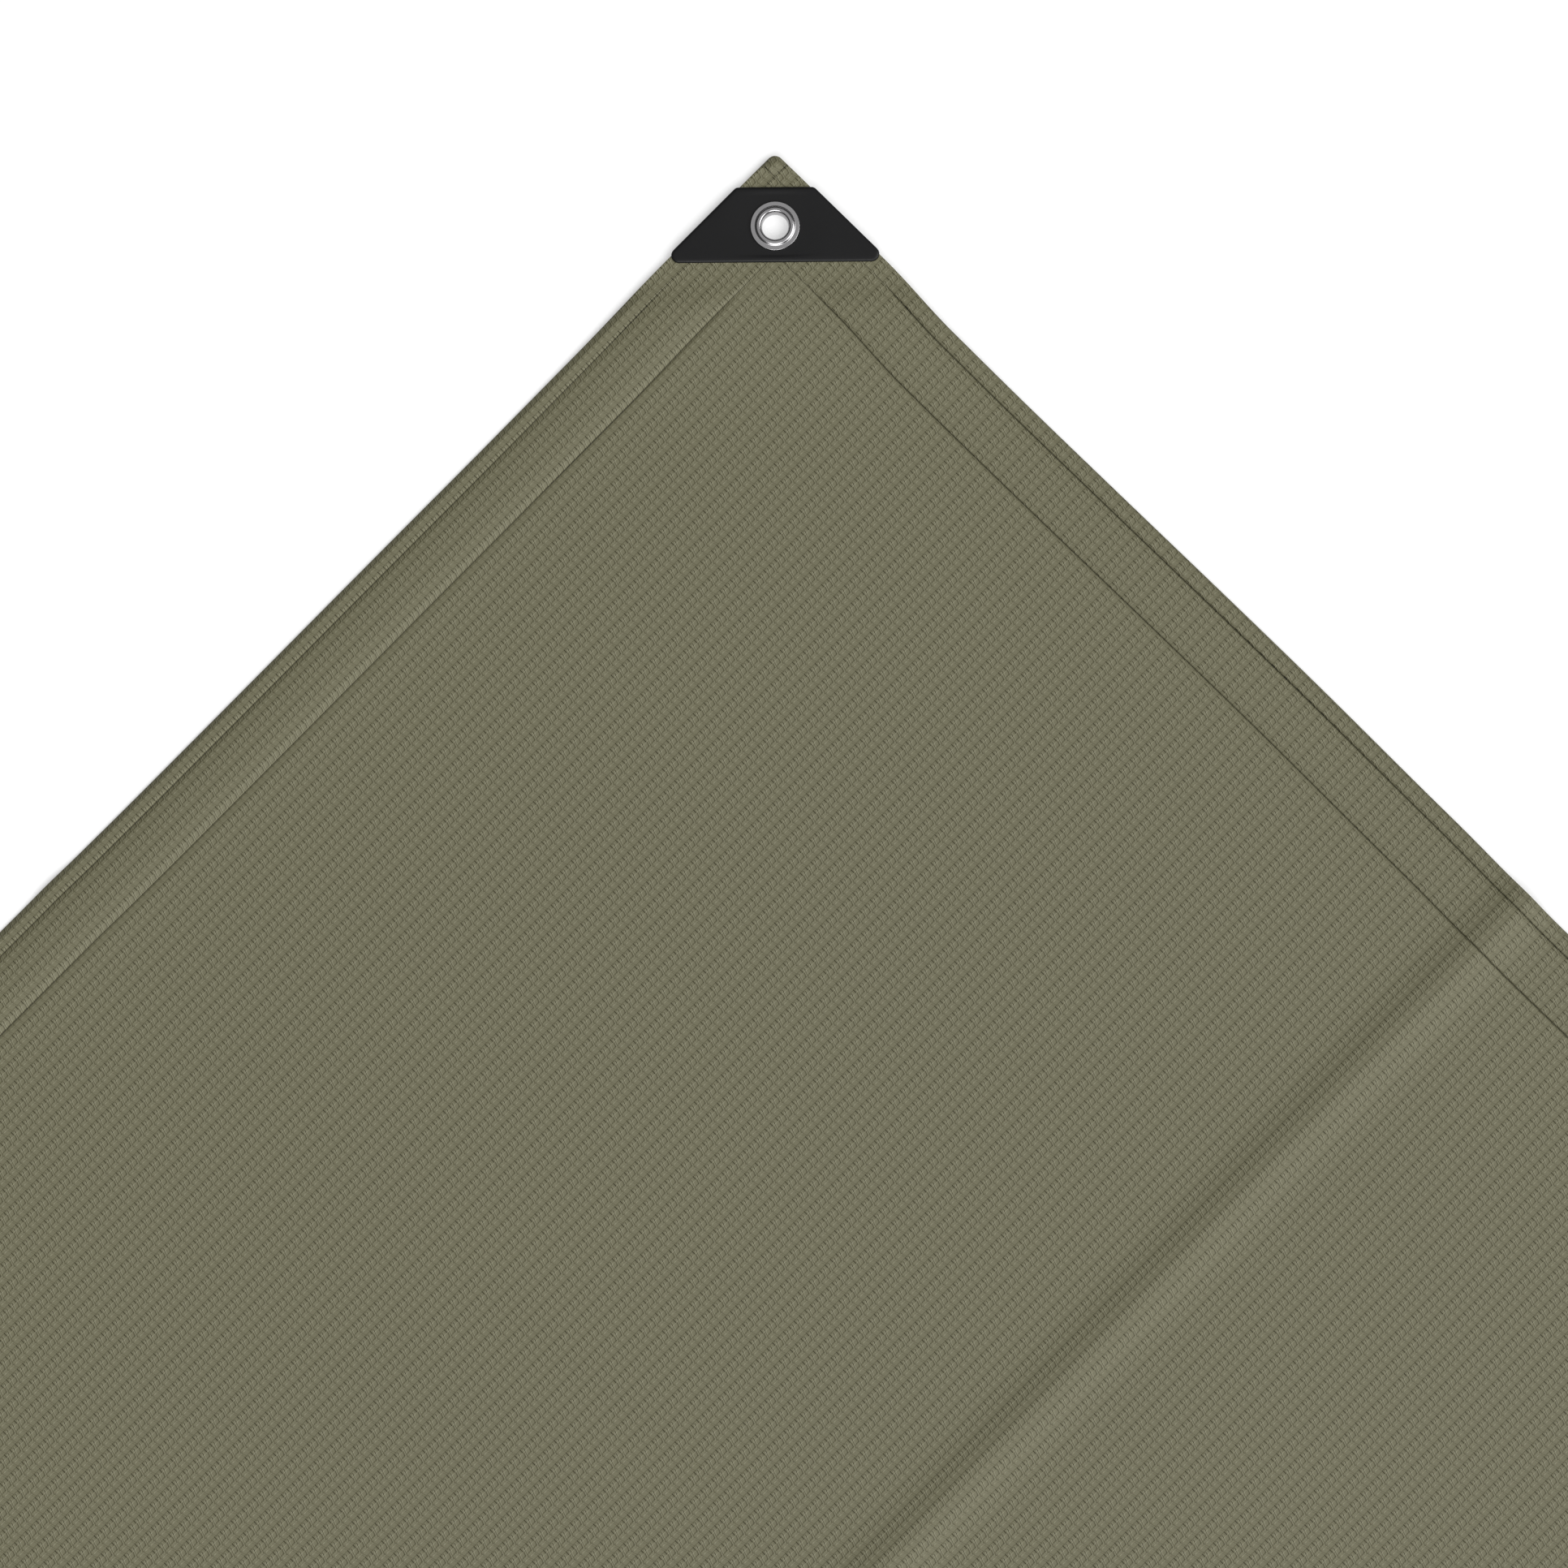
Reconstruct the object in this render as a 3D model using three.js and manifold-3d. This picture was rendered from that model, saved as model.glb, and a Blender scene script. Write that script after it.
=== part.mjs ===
// A small square tarp of woven olive cloth, laid out flat in one layer after it was stored
// folded: its two old fold creases still stand up as low ridges. Each corner passes through a
// black moulded sleeve, and a metal eyelet goes through the sleeve and the cloth.
//
// Millimetres, +Z up. The origin is the middle of the tarp on the surface it lies on. The cloth's
// edges run along X and Y, and corner 1 is the one towards +X and +Y.

import * as THREE from 'three';
import { mergeVertices } from 'three/addons/utils/BufferGeometryUtils.js';
import Module from 'manifold-3d';

const wasm = await Module();
wasm.setup();

// The cloth
const SIDE = 996;
const HALF = SIDE / 2;
const LAYER = 1.2;
const TIP_RADIUS = 4.3;
const GAP = 0.3;

// Section through the hem: inset is the distance in from the cloth's edge, under and top are
// the heights of its two faces. The roll along the edge ends at the outer hem line, 8.5 in, and
// the turned hem ends at the inner hem line, 35.6 in.
const HEM_SECTION = [
  { inset: 0, under: 0.8, top: 1.6 },
  { inset: 1.1, under: 0.1, top: 2.7 },
  { inset: 3.4, under: 0, top: 3.2 },
  { inset: 7.9, under: 0, top: 2.8 },
  { inset: 8.5, under: 0, top: 1.7 },
  { inset: 9.1, under: 0, top: 2.2 },
  { inset: 14, under: 0, top: 2.8 },
  { inset: 23, under: 0, top: 3.1 },
  { inset: 34.4, under: 0, top: 2.4 },
  { inset: 35.6, under: 0, top: LAYER },
];
const HEM_WIDTH = 35.6;

// Crests of the two fold creases. along runs in X for the first and in Y for the second, crest
// is where its line lies across that, and rise is how high it stands.
const LONG_CREASE = [
  { along: -HALF, crest: -18, rise: 3.4 },
  { along: -200, crest: -22, rise: 2.4 },
  { along: 83, crest: -21, rise: 2.6 },
  { along: 168, crest: -18.5, rise: 2.8 },
  { along: 280, crest: -18, rise: 3 },
  { along: 395, crest: -14, rise: 3.4 },
  { along: HALF, crest: -16, rise: 5 },
];
const FAINT_CREASE = [
  { along: -HALF, crest: 16, rise: 1.4 },
  { along: -252, crest: 18, rise: 1.2 },
  { along: 20, crest: 14, rise: 1.2 },
  { along: 248, crest: -1, rise: 1.1 },
  { along: 434, crest: -4, rise: 1.1 },
  { along: HALF, crest: -4, rise: 1.4 },
];
const LONG_CREASE_HALF_WIDTH = 24;
const FAINT_CREASE_HALF_WIDTH = 22;
const LONG_CREASE_MIDDLE = -18;
const FAINT_CREASE_MIDDLE = 7;
const CREASE_SHARPNESS = 1.5;
const CREASE_LINE_SHARES = [-1, -0.6, -0.32, -0.12, 0, 0.12, 0.32, 0.6, 1];

// How far each edge lies inside the straight line between its corners, by the distance along
// it from the corner at its +X or +Y end. The north edge faces +Y and the east edge +X.
const NORTH_EDGE = [
  { along: 75, inward: 0 },
  { along: 141, inward: 1 },
  { along: 230, inward: 1.4 },
  { along: 430, inward: 1.9 },
  { along: 526, inward: 1.3 },
  { along: 700, inward: 0.8 },
  { along: 910, inward: 0 },
];
const EAST_EDGE = [
  { along: 75, inward: 0 },
  { along: 125, inward: 2.1 },
  { along: 159, inward: 2.2 },
  { along: 364, inward: 1 },
  { along: 464, inward: 1.7 },
  { along: 529, inward: 2.8 },
  { along: 700, inward: 1.6 },
  { along: 910, inward: 0 },
];
const FAR_EDGES = [
  { along: 75, inward: 0 },
  { along: 300, inward: 1.6 },
  { along: 620, inward: 0.9 },
  { along: 910, inward: 0 },
];
const EDGE_BEND_REACH = 130;
const CREASE_BEND_REACH = 150;
const RAMP_LINES = [48, 60, 75, 90, 120, 160, 230, 330];

// Corner sleeve, measured along the diagonal from the cloth's own corner
const SLEEVE_NEAR = 17.4;
const SLEEVE_FAR = 54.5;
const SLEEVE_PROUD = 1.2;
const SLEEVE_FAR_RADIUS = 3.8;
const SLEEVE_NEAR_RADIUS = 3;
const SLEEVE_BEVEL = 0.35;
const LOWER_PLATE = 0.7;
const UPPER_PLATE = 0.8;
const PARTING = 50;
const PASSAGE_OVERRUN = 5;

// Eyelet, on the diagonal
const EYELET_AT = 36.8;
const EYELET_HOLE_RADIUS = 6.2;
const BARREL_RADIUS = 6.6;
const BARREL_FLARE = 0.4;
const FLANGE_RADIUS = 12;
const FLANGE_THICK = 0.7;
const FLANGE_EDGE = 0.3;
const WASHER_THICK = 0.7;
const WASHER_EDGE = 0.2;
const WASHER_CLEARANCE = 0.35;
const THROUGH_RADIUS = 7;
const ROUND_STEPS = 32;

// Section of the raised rim round the hole: height is counted from the top of the flange
const RIM_HEIGHT = 0.9;
const RIM_SECTION = [
  { radius: 9.6, height: 0 },
  { radius: 9, height: 0.6 },
  { radius: 8.5, height: RIM_HEIGHT },
  { radius: 7, height: RIM_HEIGHT },
  { radius: 6.4, height: 0.4 },
  { radius: EYELET_HOLE_RADIUS, height: -0.4 },
];

// Heights of the stack at a corner
const LOWER_PLATE_BOTTOM = WASHER_THICK + GAP;
const LOWER_PLATE_TOP = LOWER_PLATE_BOTTOM + LOWER_PLATE;
const CORNER_LIFT = LOWER_PLATE_TOP + GAP;
const PRESSED_CLOTH = 1.6;
const UPPER_PLATE_BOTTOM = CORNER_LIFT + PRESSED_CLOTH + GAP;
const SLEEVE_TOP = UPPER_PLATE_BOTTOM + UPPER_PLATE;
const FLANGE_BOTTOM = SLEEVE_TOP + GAP;
const FLANGE_TOP = FLANGE_BOTTOM + FLANGE_THICK;
const RIM_TOP = FLANGE_TOP + RIM_HEIGHT;

// Diagonal distances between which the cloth is pressed flat, and over which it comes down
const PRESSED = { rises: 7.5, from: 11, to: 64, ends: 76 };
const RAMP_END = 135;

const ALONG_DIAGONAL = Math.SQRT1_2;
const ARC_STEP = Math.PI / 10;
const TALLER_THAN_ALL = 30;

// Linear reading of one column of a table, held level past its ends
function readTable(rows, key, column, at) {
  if (at <= rows[0][key]) return rows[0][column];
  for (let i = 1; i < rows.length; i += 1) {
    const before = rows[i - 1];
    const after = rows[i];
    if (at <= after[key]) {
      const share = (at - before[key]) / (after[key] - before[key]);
      return before[column] + share * (after[column] - before[column]);
    }
  }
  return rows[rows.length - 1][column];
}

const smoothStep = THREE.MathUtils.smoothstep;

// 1 up to reach / 3, then fading to 0 at reach
function fade(distance, reach) {
  return 1 - smoothStep(distance, reach / 3, reach);
}

// Distances in from the nearest edges, on the straight grid that the cloth is worked out on
function insets(x, y) {
  return { x: HALF - Math.abs(x), y: HALF - Math.abs(y) };
}

function diagonalDistance(x, y) {
  const inset = insets(x, y);
  return (inset.x + inset.y) * ALONG_DIAGONAL;
}

// How much the cloth is pressed flat inside and beside a sleeve, from 0 to 1
function pressing(x, y) {
  const diagonal = diagonalDistance(x, y);
  const entering = smoothStep(diagonal, PRESSED.rises, PRESSED.from);
  return entering * (1 - smoothStep(diagonal, PRESSED.to, PRESSED.ends));
}

function creaseShape(offset, halfWidth) {
  return Math.max(0, 1 - Math.abs(offset) / halfWidth) ** CREASE_SHARPNESS;
}

// Height of the cloth's lower face over the surface: the creases, and the lift at each corner
function liftAt(x, y) {
  const longRise = readTable(LONG_CREASE, 'along', 'rise', x);
  const faintRise = readTable(FAINT_CREASE, 'along', 'rise', y);
  const creases = longRise * creaseShape(y - LONG_CREASE_MIDDLE, LONG_CREASE_HALF_WIDTH)
    + faintRise * creaseShape(x - FAINT_CREASE_MIDDLE, FAINT_CREASE_HALF_WIDTH);
  const corner = CORNER_LIFT * (1 - smoothStep(diagonalDistance(x, y), PRESSED.to, RAMP_END));
  return creases + corner;
}

// Height of the hem section over the lift, for the top or the under face
function sectionAt(x, y, face) {
  const inset = insets(x, y);
  const fromX = readTable(HEM_SECTION, 'inset', face, inset.x);
  const fromY = readTable(HEM_SECTION, 'inset', face, inset.y);
  if (face === 'under') return Math.max(fromX, fromY);
  const crossing = inset.x < HEM_WIDTH && inset.y < HEM_WIDTH;
  return crossing ? Math.min(fromX, fromY) : Math.max(fromX, fromY);
}

function heightAt(x, y, face) {
  const pressed = face === 'top' ? PRESSED_CLOTH : 0;
  const share = pressing(x, y);
  return liftAt(x, y) + share * pressed + (1 - share) * sectionAt(x, y, face);
}

// Where a point of the straight grid really lies: the grid bends with the creases and edges
function bentPosition(x, y) {
  const inset = insets(x, y);
  const xEdge = x > 0 ? EAST_EDGE : FAR_EDGES;
  const yEdge = y > 0 ? NORTH_EDGE : FAR_EDGES;
  const xInward = readTable(xEdge, 'along', 'inward', HALF - y) * fade(inset.x, EDGE_BEND_REACH);
  const yInward = readTable(yEdge, 'along', 'inward', HALF - x) * fade(inset.y, EDGE_BEND_REACH);
  const longShift = readTable(LONG_CREASE, 'along', 'crest', x) - LONG_CREASE_MIDDLE;
  const faintShift = readTable(FAINT_CREASE, 'along', 'crest', y) - FAINT_CREASE_MIDDLE;
  const longNear = fade(Math.abs(y - LONG_CREASE_MIDDLE), CREASE_BEND_REACH);
  const faintNear = fade(Math.abs(x - FAINT_CREASE_MIDDLE), CREASE_BEND_REACH);
  return {
    x: x - Math.sign(x) * xInward + faintShift * faintNear,
    y: y - Math.sign(y) * yInward + longShift * longNear,
  };
}

// Grid lines across the cloth: close together in the hems, at the corners' ramps and over one
// crease, whose middle and half width are given
function gridLines(creaseMiddle, creaseHalfWidth) {
  const insetLines = [...HEM_SECTION.map((row) => row.inset), ...RAMP_LINES];
  const side = insetLines.map((inset) => HALF - inset);
  const crease = CREASE_LINE_SHARES.map((share) => creaseMiddle + share * creaseHalfWidth);
  const lines = [...side, ...side.map((at) => -at), ...crease];
  return lines.sort((a, b) => a - b);
}

// The whole cloth as one closed skin: an upper and a lower grid joined round the rim
function clothGeometry() {
  const xLines = gridLines(FAINT_CREASE_MIDDLE, FAINT_CREASE_HALF_WIDTH);
  const yLines = gridLines(LONG_CREASE_MIDDLE, LONG_CREASE_HALF_WIDTH);
  const columns = xLines.length;
  const rows = yLines.length;
  const positions = [];
  for (const face of ['top', 'under']) {
    for (const y of yLines) {
      for (const x of xLines) {
        const bent = bentPosition(x, y);
        positions.push(bent.x, bent.y, heightAt(x, y, face));
      }
    }
  }
  const upper = (column, row) => row * columns + column;
  const lower = (column, row) => columns * rows + row * columns + column;
  const triangles = [];
  const quad = (a, b, c, d) => triangles.push(a, b, c, a, c, d);
  // A cell is split across the line that runs from its corner of the tarp to the middle
  const cell = (a, b, c, d, across) => (across ? quad(b, c, d, a) : quad(a, b, c, d));
  for (let row = 0; row < rows - 1; row += 1) {
    for (let column = 0; column < columns - 1; column += 1) {
      const next = column + 1;
      const across = xLines[column] * yLines[row] > 0;
      const above = [[column, row], [next, row], [next, row + 1], [column, row + 1]];
      const below = [[column, row], [column, row + 1], [next, row + 1], [next, row]];
      cell(...above.map((place) => upper(...place)), across);
      cell(...below.map((place) => lower(...place)), across);
    }
  }
  for (let column = 0; column < columns - 1; column += 1) {
    const next = column + 1;
    const last = rows - 1;
    quad(lower(column, 0), lower(next, 0), upper(next, 0), upper(column, 0));
    quad(upper(column, last), upper(next, last), lower(next, last), lower(column, last));
  }
  for (let row = 0; row < rows - 1; row += 1) {
    const last = columns - 1;
    quad(upper(0, row), upper(0, row + 1), lower(0, row + 1), lower(0, row));
    quad(lower(last, row), lower(last, row + 1), upper(last, row + 1), upper(last, row));
  }
  const geometry = new THREE.BufferGeometry();
  geometry.setAttribute('position', new THREE.Float32BufferAttribute(positions, 3));
  geometry.setIndex(triangles);
  return geometry;
}

function toSolid(source) {
  const bare = source.clone();
  bare.deleteAttribute('normal');
  bare.deleteAttribute('uv');
  const merged = mergeVertices(bare);
  return new wasm.Manifold(new wasm.Mesh({
    numProp: 3,
    vertProperties: new Float32Array(merged.attributes.position.array),
    triVerts: new Uint32Array(merged.index.array),
  }));
}

function toGeometry(solid) {
  const mesh = solid.getMesh();
  const geometry = new THREE.BufferGeometry();
  geometry.setAttribute('position', new THREE.BufferAttribute(mesh.vertProperties, 3));
  geometry.setIndex(new THREE.BufferAttribute(mesh.triVerts, 1));
  return geometry;
}

// A polygon with a radius at each point, as a shape whose rounded corners are arcs
function roundedShape(points) {
  const outline = [];
  points.forEach((point, i) => {
    const here = new THREE.Vector2(point.x, point.y);
    const before = points[(i + points.length - 1) % points.length];
    const after = points[(i + 1) % points.length];
    if (!point.radius) {
      outline.push(here);
      return;
    }
    const back = new THREE.Vector2(before.x, before.y).sub(here).normalize();
    const ahead = new THREE.Vector2(after.x, after.y).sub(here).normalize();
    const halfAngle = Math.acos(THREE.MathUtils.clamp(back.dot(ahead), -1, 1)) / 2;
    const toCentre = back.clone().add(ahead).normalize();
    const centre = here.clone().addScaledVector(toCentre, point.radius / Math.sin(halfAngle));
    const reach = point.radius / Math.tan(halfAngle);
    const start = here.clone().addScaledVector(back, reach).sub(centre);
    const end = here.clone().addScaledVector(ahead, reach).sub(centre);
    const turn = Math.atan2(start.cross(end), start.dot(end));
    const steps = Math.max(3, Math.round(Math.abs(turn) / ARC_STEP));
    for (let step = 0; step <= steps; step += 1) {
      const spoke = start.clone().rotateAround(new THREE.Vector2(), (turn * step) / steps);
      outline.push(spoke.add(centre));
    }
  });
  return new THREE.Shape(outline);
}

// Corner frame: x runs in from the cloth's corner along the diagonal, y across it, z up.
// acrossAt gives half the width between two lines that lie the given distance out from the
// cloth's edges.
function acrossAt(diagonal, outward) {
  return diagonal + outward / ALONG_DIAGONAL;
}

function wedge(from, to, outward, bottom, top) {
  const shape = new THREE.Shape([
    new THREE.Vector2(from, -acrossAt(from, outward)),
    new THREE.Vector2(to, -acrossAt(to, outward)),
    new THREE.Vector2(to, acrossAt(to, outward)),
    new THREE.Vector2(from, acrossAt(from, outward)),
  ]);
  const geometry = new THREE.ExtrudeGeometry(shape, { depth: top - bottom, bevelEnabled: false });
  return geometry.translate(0, 0, bottom);
}

function throughHole() {
  const hole = new THREE.CylinderGeometry(
    THROUGH_RADIUS,
    THROUGH_RADIUS,
    TALLER_THAN_ALL,
    ROUND_STEPS,
  );
  return hole.rotateX(Math.PI / 2).translate(EYELET_AT, 0, 0);
}

function sleeveGeometry() {
  const nearAcross = acrossAt(SLEEVE_NEAR, SLEEVE_PROUD);
  const farAcross = acrossAt(SLEEVE_FAR, SLEEVE_PROUD);
  const shape = roundedShape([
    { x: SLEEVE_NEAR, y: -nearAcross, radius: SLEEVE_NEAR_RADIUS },
    { x: SLEEVE_FAR, y: -farAcross, radius: SLEEVE_FAR_RADIUS },
    { x: SLEEVE_FAR, y: farAcross, radius: SLEEVE_FAR_RADIUS },
    { x: SLEEVE_NEAR, y: nearAcross, radius: SLEEVE_NEAR_RADIUS },
  ]);
  const outer = new THREE.ExtrudeGeometry(shape, {
    depth: SLEEVE_TOP - LOWER_PLATE_BOTTOM - 2 * SLEEVE_BEVEL,
    bevelThickness: SLEEVE_BEVEL,
    bevelSize: SLEEVE_BEVEL,
    bevelOffset: -SLEEVE_BEVEL,
    bevelSegments: 1,
  }).translate(0, 0, LOWER_PLATE_BOTTOM + SLEEVE_BEVEL);
  const before = SLEEVE_NEAR - PASSAGE_OVERRUN;
  const beyond = SLEEVE_FAR + PASSAGE_OVERRUN;
  const passage = wedge(before, beyond, GAP, LOWER_PLATE_TOP, UPPER_PLATE_BOTTOM);
  const body = toSolid(outer).subtract(toSolid(passage)).subtract(toSolid(throughHole()));
  return toGeometry(body);
}

// A ring turned from a closed section of radii and heights, standing on the eyelet's centre
function turned(section) {
  const closed = [...section, section[0]];
  const points = closed.map(([radius, height]) => new THREE.Vector2(radius, height));
  const ring = new THREE.LatheGeometry(points, ROUND_STEPS);
  return toGeometry(toSolid(ring.rotateX(Math.PI / 2))).translate(EYELET_AT, 0, 0);
}

function eyeletGeometry() {
  return turned([
    [EYELET_HOLE_RADIUS, 0],
    [BARREL_RADIUS + BARREL_FLARE, 0],
    [BARREL_RADIUS, WASHER_THICK],
    [BARREL_RADIUS, FLANGE_BOTTOM],
    [FLANGE_RADIUS, FLANGE_BOTTOM],
    [FLANGE_RADIUS, FLANGE_TOP - FLANGE_EDGE],
    [FLANGE_RADIUS - FLANGE_EDGE, FLANGE_TOP],
    ...RIM_SECTION.map((row) => [row.radius, FLANGE_TOP + row.height]),
  ]);
}

function washerGeometry() {
  return turned([
    [BARREL_RADIUS + BARREL_FLARE + WASHER_CLEARANCE, 0],
    [FLANGE_RADIUS, 0],
    [FLANGE_RADIUS, WASHER_THICK - WASHER_EDGE],
    [FLANGE_RADIUS - WASHER_EDGE, WASHER_THICK],
    [BARREL_RADIUS + WASHER_CLEARANCE, WASHER_THICK],
  ]);
}

// The four corners, each with its place and the turn that points its diagonal at the middle
const CORNERS = [
  { x: HALF, y: HALF, turn: Math.PI * 1.25 },
  { x: -HALF, y: HALF, turn: Math.PI * 1.75 },
  { x: -HALF, y: -HALF, turn: Math.PI * 0.25 },
  { x: HALF, y: -HALF, turn: Math.PI * 0.75 },
];

function atCorner(geometry, corner) {
  return geometry.clone().rotateZ(corner.turn).translate(corner.x, corner.y, 0);
}

// All that lies nearer the corner than the given diagonal distance, with the tip rounded off
function tipRegion(diagonal) {
  const shape = roundedShape([
    { x: 0, y: 0, radius: TIP_RADIUS },
    { x: diagonal, y: -diagonal },
    { x: diagonal, y: diagonal },
  ]);
  const size = { depth: TALLER_THAN_ALL, bevelEnabled: false };
  return new THREE.ExtrudeGeometry(shape, size).translate(0, 0, -TALLER_THAN_ALL / 2);
}

// The region that parts a corner off the rest of the cloth, wider than the cloth there
function cutRegion(diagonal) {
  const beyond = 2 * diagonal;
  return wedge(-diagonal, diagonal, beyond, -TALLER_THAN_ALL, TALLER_THAN_ALL);
}

const CLOTH_FINISH = { color: 0x72705b, roughness: 0.75, metalness: 0 };
const SLEEVE_FINISH = { color: 0x272727, roughness: 0.45, metalness: 0 };
const METAL_FINISH = { color: 0x9a9899, roughness: 0.3, metalness: 1 };

const tarp = new THREE.Group();

function addMesh(parent, name, geometry, finish) {
  const mesh = new THREE.Mesh(geometry, new THREE.MeshStandardMaterial(finish));
  mesh.name = name;
  parent.add(mesh);
}

const wholeCloth = toSolid(clothGeometry());
const middleCloth = CORNERS.reduce((cloth, corner) => {
  const region = cutRegion(PARTING + GAP / 2);
  return cloth.subtract(toSolid(atCorner(region, corner)));
}, wholeCloth);
addMesh(tarp, 'tarp_cloth', toGeometry(middleCloth), CLOTH_FINISH);

CORNERS.forEach((corner, i) => {
  const number = i + 1;
  const tip = wholeCloth.intersect(toSolid(atCorner(tipRegion(PARTING - GAP / 2), corner)));
  const holed = tip.subtract(toSolid(atCorner(throughHole(), corner)));
  addMesh(tarp, `cloth_corner_${number}`, toGeometry(holed), CLOTH_FINISH);
});

CORNERS.forEach((corner, i) => {
  const number = i + 1;
  const fittings = new THREE.Group();
  fittings.position.set(corner.x, corner.y, 0);
  fittings.rotation.z = corner.turn;
  addMesh(fittings, `corner_sleeve_${number}`, sleeveGeometry(), SLEEVE_FINISH);
  addMesh(fittings, `eyelet_${number}`, eyeletGeometry(), METAL_FINISH);
  addMesh(fittings, `eyelet_washer_${number}`, washerGeometry(), METAL_FINISH);
  tarp.add(fittings);
});

export default tarp;
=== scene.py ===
import math

import bmesh
import bpy
import numpy as np
from bpy.props import FloatProperty, FloatVectorProperty, IntProperty, PointerProperty
from mathutils import Matrix, Vector


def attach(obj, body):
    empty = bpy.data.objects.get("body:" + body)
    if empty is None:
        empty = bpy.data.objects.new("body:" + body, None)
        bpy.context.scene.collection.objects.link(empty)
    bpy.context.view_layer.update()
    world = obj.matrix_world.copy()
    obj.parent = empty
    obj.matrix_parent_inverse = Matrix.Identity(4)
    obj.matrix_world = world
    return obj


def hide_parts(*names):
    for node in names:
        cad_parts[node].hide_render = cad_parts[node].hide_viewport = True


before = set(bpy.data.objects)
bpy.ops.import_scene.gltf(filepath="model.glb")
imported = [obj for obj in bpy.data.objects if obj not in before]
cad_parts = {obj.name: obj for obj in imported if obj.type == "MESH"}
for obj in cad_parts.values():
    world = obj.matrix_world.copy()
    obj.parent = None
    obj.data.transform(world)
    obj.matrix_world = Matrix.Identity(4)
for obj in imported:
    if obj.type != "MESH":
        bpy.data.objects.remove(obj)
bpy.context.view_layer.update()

bl_info = {
    "name": "Eyeleted Tarp",
    "version": (1, 0, 0),
    "blender": (4, 5, 0),
    "location": "3D View > Sidebar > Tarp",
    "description": "Woven tarp laid out flat, with turned hems, corner sleeves and eyelets",
    "category": "Object",
}

# Sizes in the tables and constants below are in millimetres
MM = 0.001


def table(columns, rows):
    """The rows as dictionaries, with the names of the columns as their keys."""
    return [dict(zip(columns.split(), row)) for row in rows]


# The cloth. The two hem lines lie 0.1 and 0.2 mm further in than the steps in its solid.
SIDE = 996
HALF = SIDE / 2
TIP_RADIUS = 4.3
GAP = 0.3
LAYER = 1.2
OUTER_LINE = 8.6
INNER_LINE = 35.8
LINE_REACH = 0.15

# Section through the hem: inset is counted in from the edge, top and under are heights
HEM_SECTION = table("inset top under", [
    (0, 1.35, 0.8),
    (0.25, 1.68, 0.45),
    (0.8, 2.06, 0.15),
    (1.4, 2.44, 0.03),
    (2, 2.78, 0),
    (2.7, 3.1, 0),
    (3.4, 3.33, 0),
    (4.1, 3.4, 0),
    (5.5, 3.4, 0),
    (7, 3.33, 0),
    (7.9, 3.2, 0),
    (OUTER_LINE - LINE_REACH, 2.88, 0),
    (OUTER_LINE, 1.6, 0.3),
    (OUTER_LINE + LINE_REACH, 1.8, 0),
    (9.4, 2.04, 0),
    (10.3, 2.32, 0),
    (11.6, 2.58, 0),
    (14, 2.78, 0),
    (17, 3, 0),
    (21, 3.15, 0),
    (25, 3.2, 0),
    (28, 3.16, 0),
    (30.5, 2.98, 0),
    (32.5, 2.74, 0),
    (34, 2.42, 0),
    (35, 2.1, 0),
    (INNER_LINE - LINE_REACH, 1.85, 0),
    (INNER_LINE, 0.68, 0.3),
    (INNER_LINE + LINE_REACH, 0.8, 0),
    (36.5, 1.04, 0),
    (37.4, 1.26, 0),
    (38.6, 1.36, 0),
    (41, 1.36, 0),
    (46, 1.26, 0),
    (52, LAYER, 0),
])

# Crests of the two fold creases. along runs in X for the first and in Y for the second, crest
# is where its line lies across that, and rise is how high it stands.
LONG_CREASE = table("along crest rise", [
    (-HALF, -18, 2.4),
    (-200, -22, 2.4),
    (55, -20.5, 2.5),
    (135, -19.3, 2.5),
    (235, -18.5, 2.5),
    (330, -17, 2.5),
    (405, -16, 2.6),
    (462, -15.7, 2.8),
    (HALF, -15.5, 3),
])
FAINT_CREASE = table("along crest rise", [
    (-HALF, 16, 1.4),
    (-252, 18, 1.2),
    (20, 14, 1.2),
    (248, -1, 1.1),
    (434, -4, 1.1),
    (HALF, -4, 1.4),
])
LONG_MIDDLE = -18
LONG_WIDTH = 8.2
FAINT_MIDDLE = 7
FAINT_WIDTH = 8
CREASE_OFFSETS = [0, 2, 4, 6, 8, 10, 12.5, 15.5, 19, 23, 28]

# How far each edge lies inside the straight line between its corners, by the distance along
# it from the corner at its +X or +Y end
NORTH_EDGE = table("along inward", [
    (75, 0),
    (141, 1),
    (230, 1.4),
    (430, 1.9),
    (526, 1.3),
    (700, 0.8),
    (910, 0),
])
EAST_EDGE = table("along inward", [
    (75, 0),
    (125, 2.1),
    (159, 2.2),
    (364, 1),
    (464, 1.7),
    (529, 2.8),
    (700, 1.6),
    (910, 0),
])
FAR_EDGES = table("along inward", [
    (75, 0),
    (300, 1.6),
    (620, 0.9),
    (910, 0),
])
EDGE_BEND_REACH = 130
CREASE_BEND_REACH = 150

# Spacing of the cloth's grid lines: over the ramp beside each corner, and in the middle
RAMP_STEP = 5.5
RAMP_LINES_END = 140
MIDDLE_STEP = 9.5
LEAST_STEP = 0.6

# Corner sleeve and eyelet, along the diagonal from the cloth's own corner
SLEEVE_NEAR = 17.4
SLEEVE_FAR = 54.5
SLEEVE_PROUD = 1.2
SLEEVE_NEAR_RADIUS = 3
SLEEVE_FAR_RADIUS = 3.8
EYELET_AT = 36.8
BARREL_RADIUS = 6.6
FLANGE_RADIUS = 12
FLANGE_THICK = 0.7
WASHER_THICK = 0.7
WASHER_CLEARANCE = 0.35
THROUGH_RADIUS = 7

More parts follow.
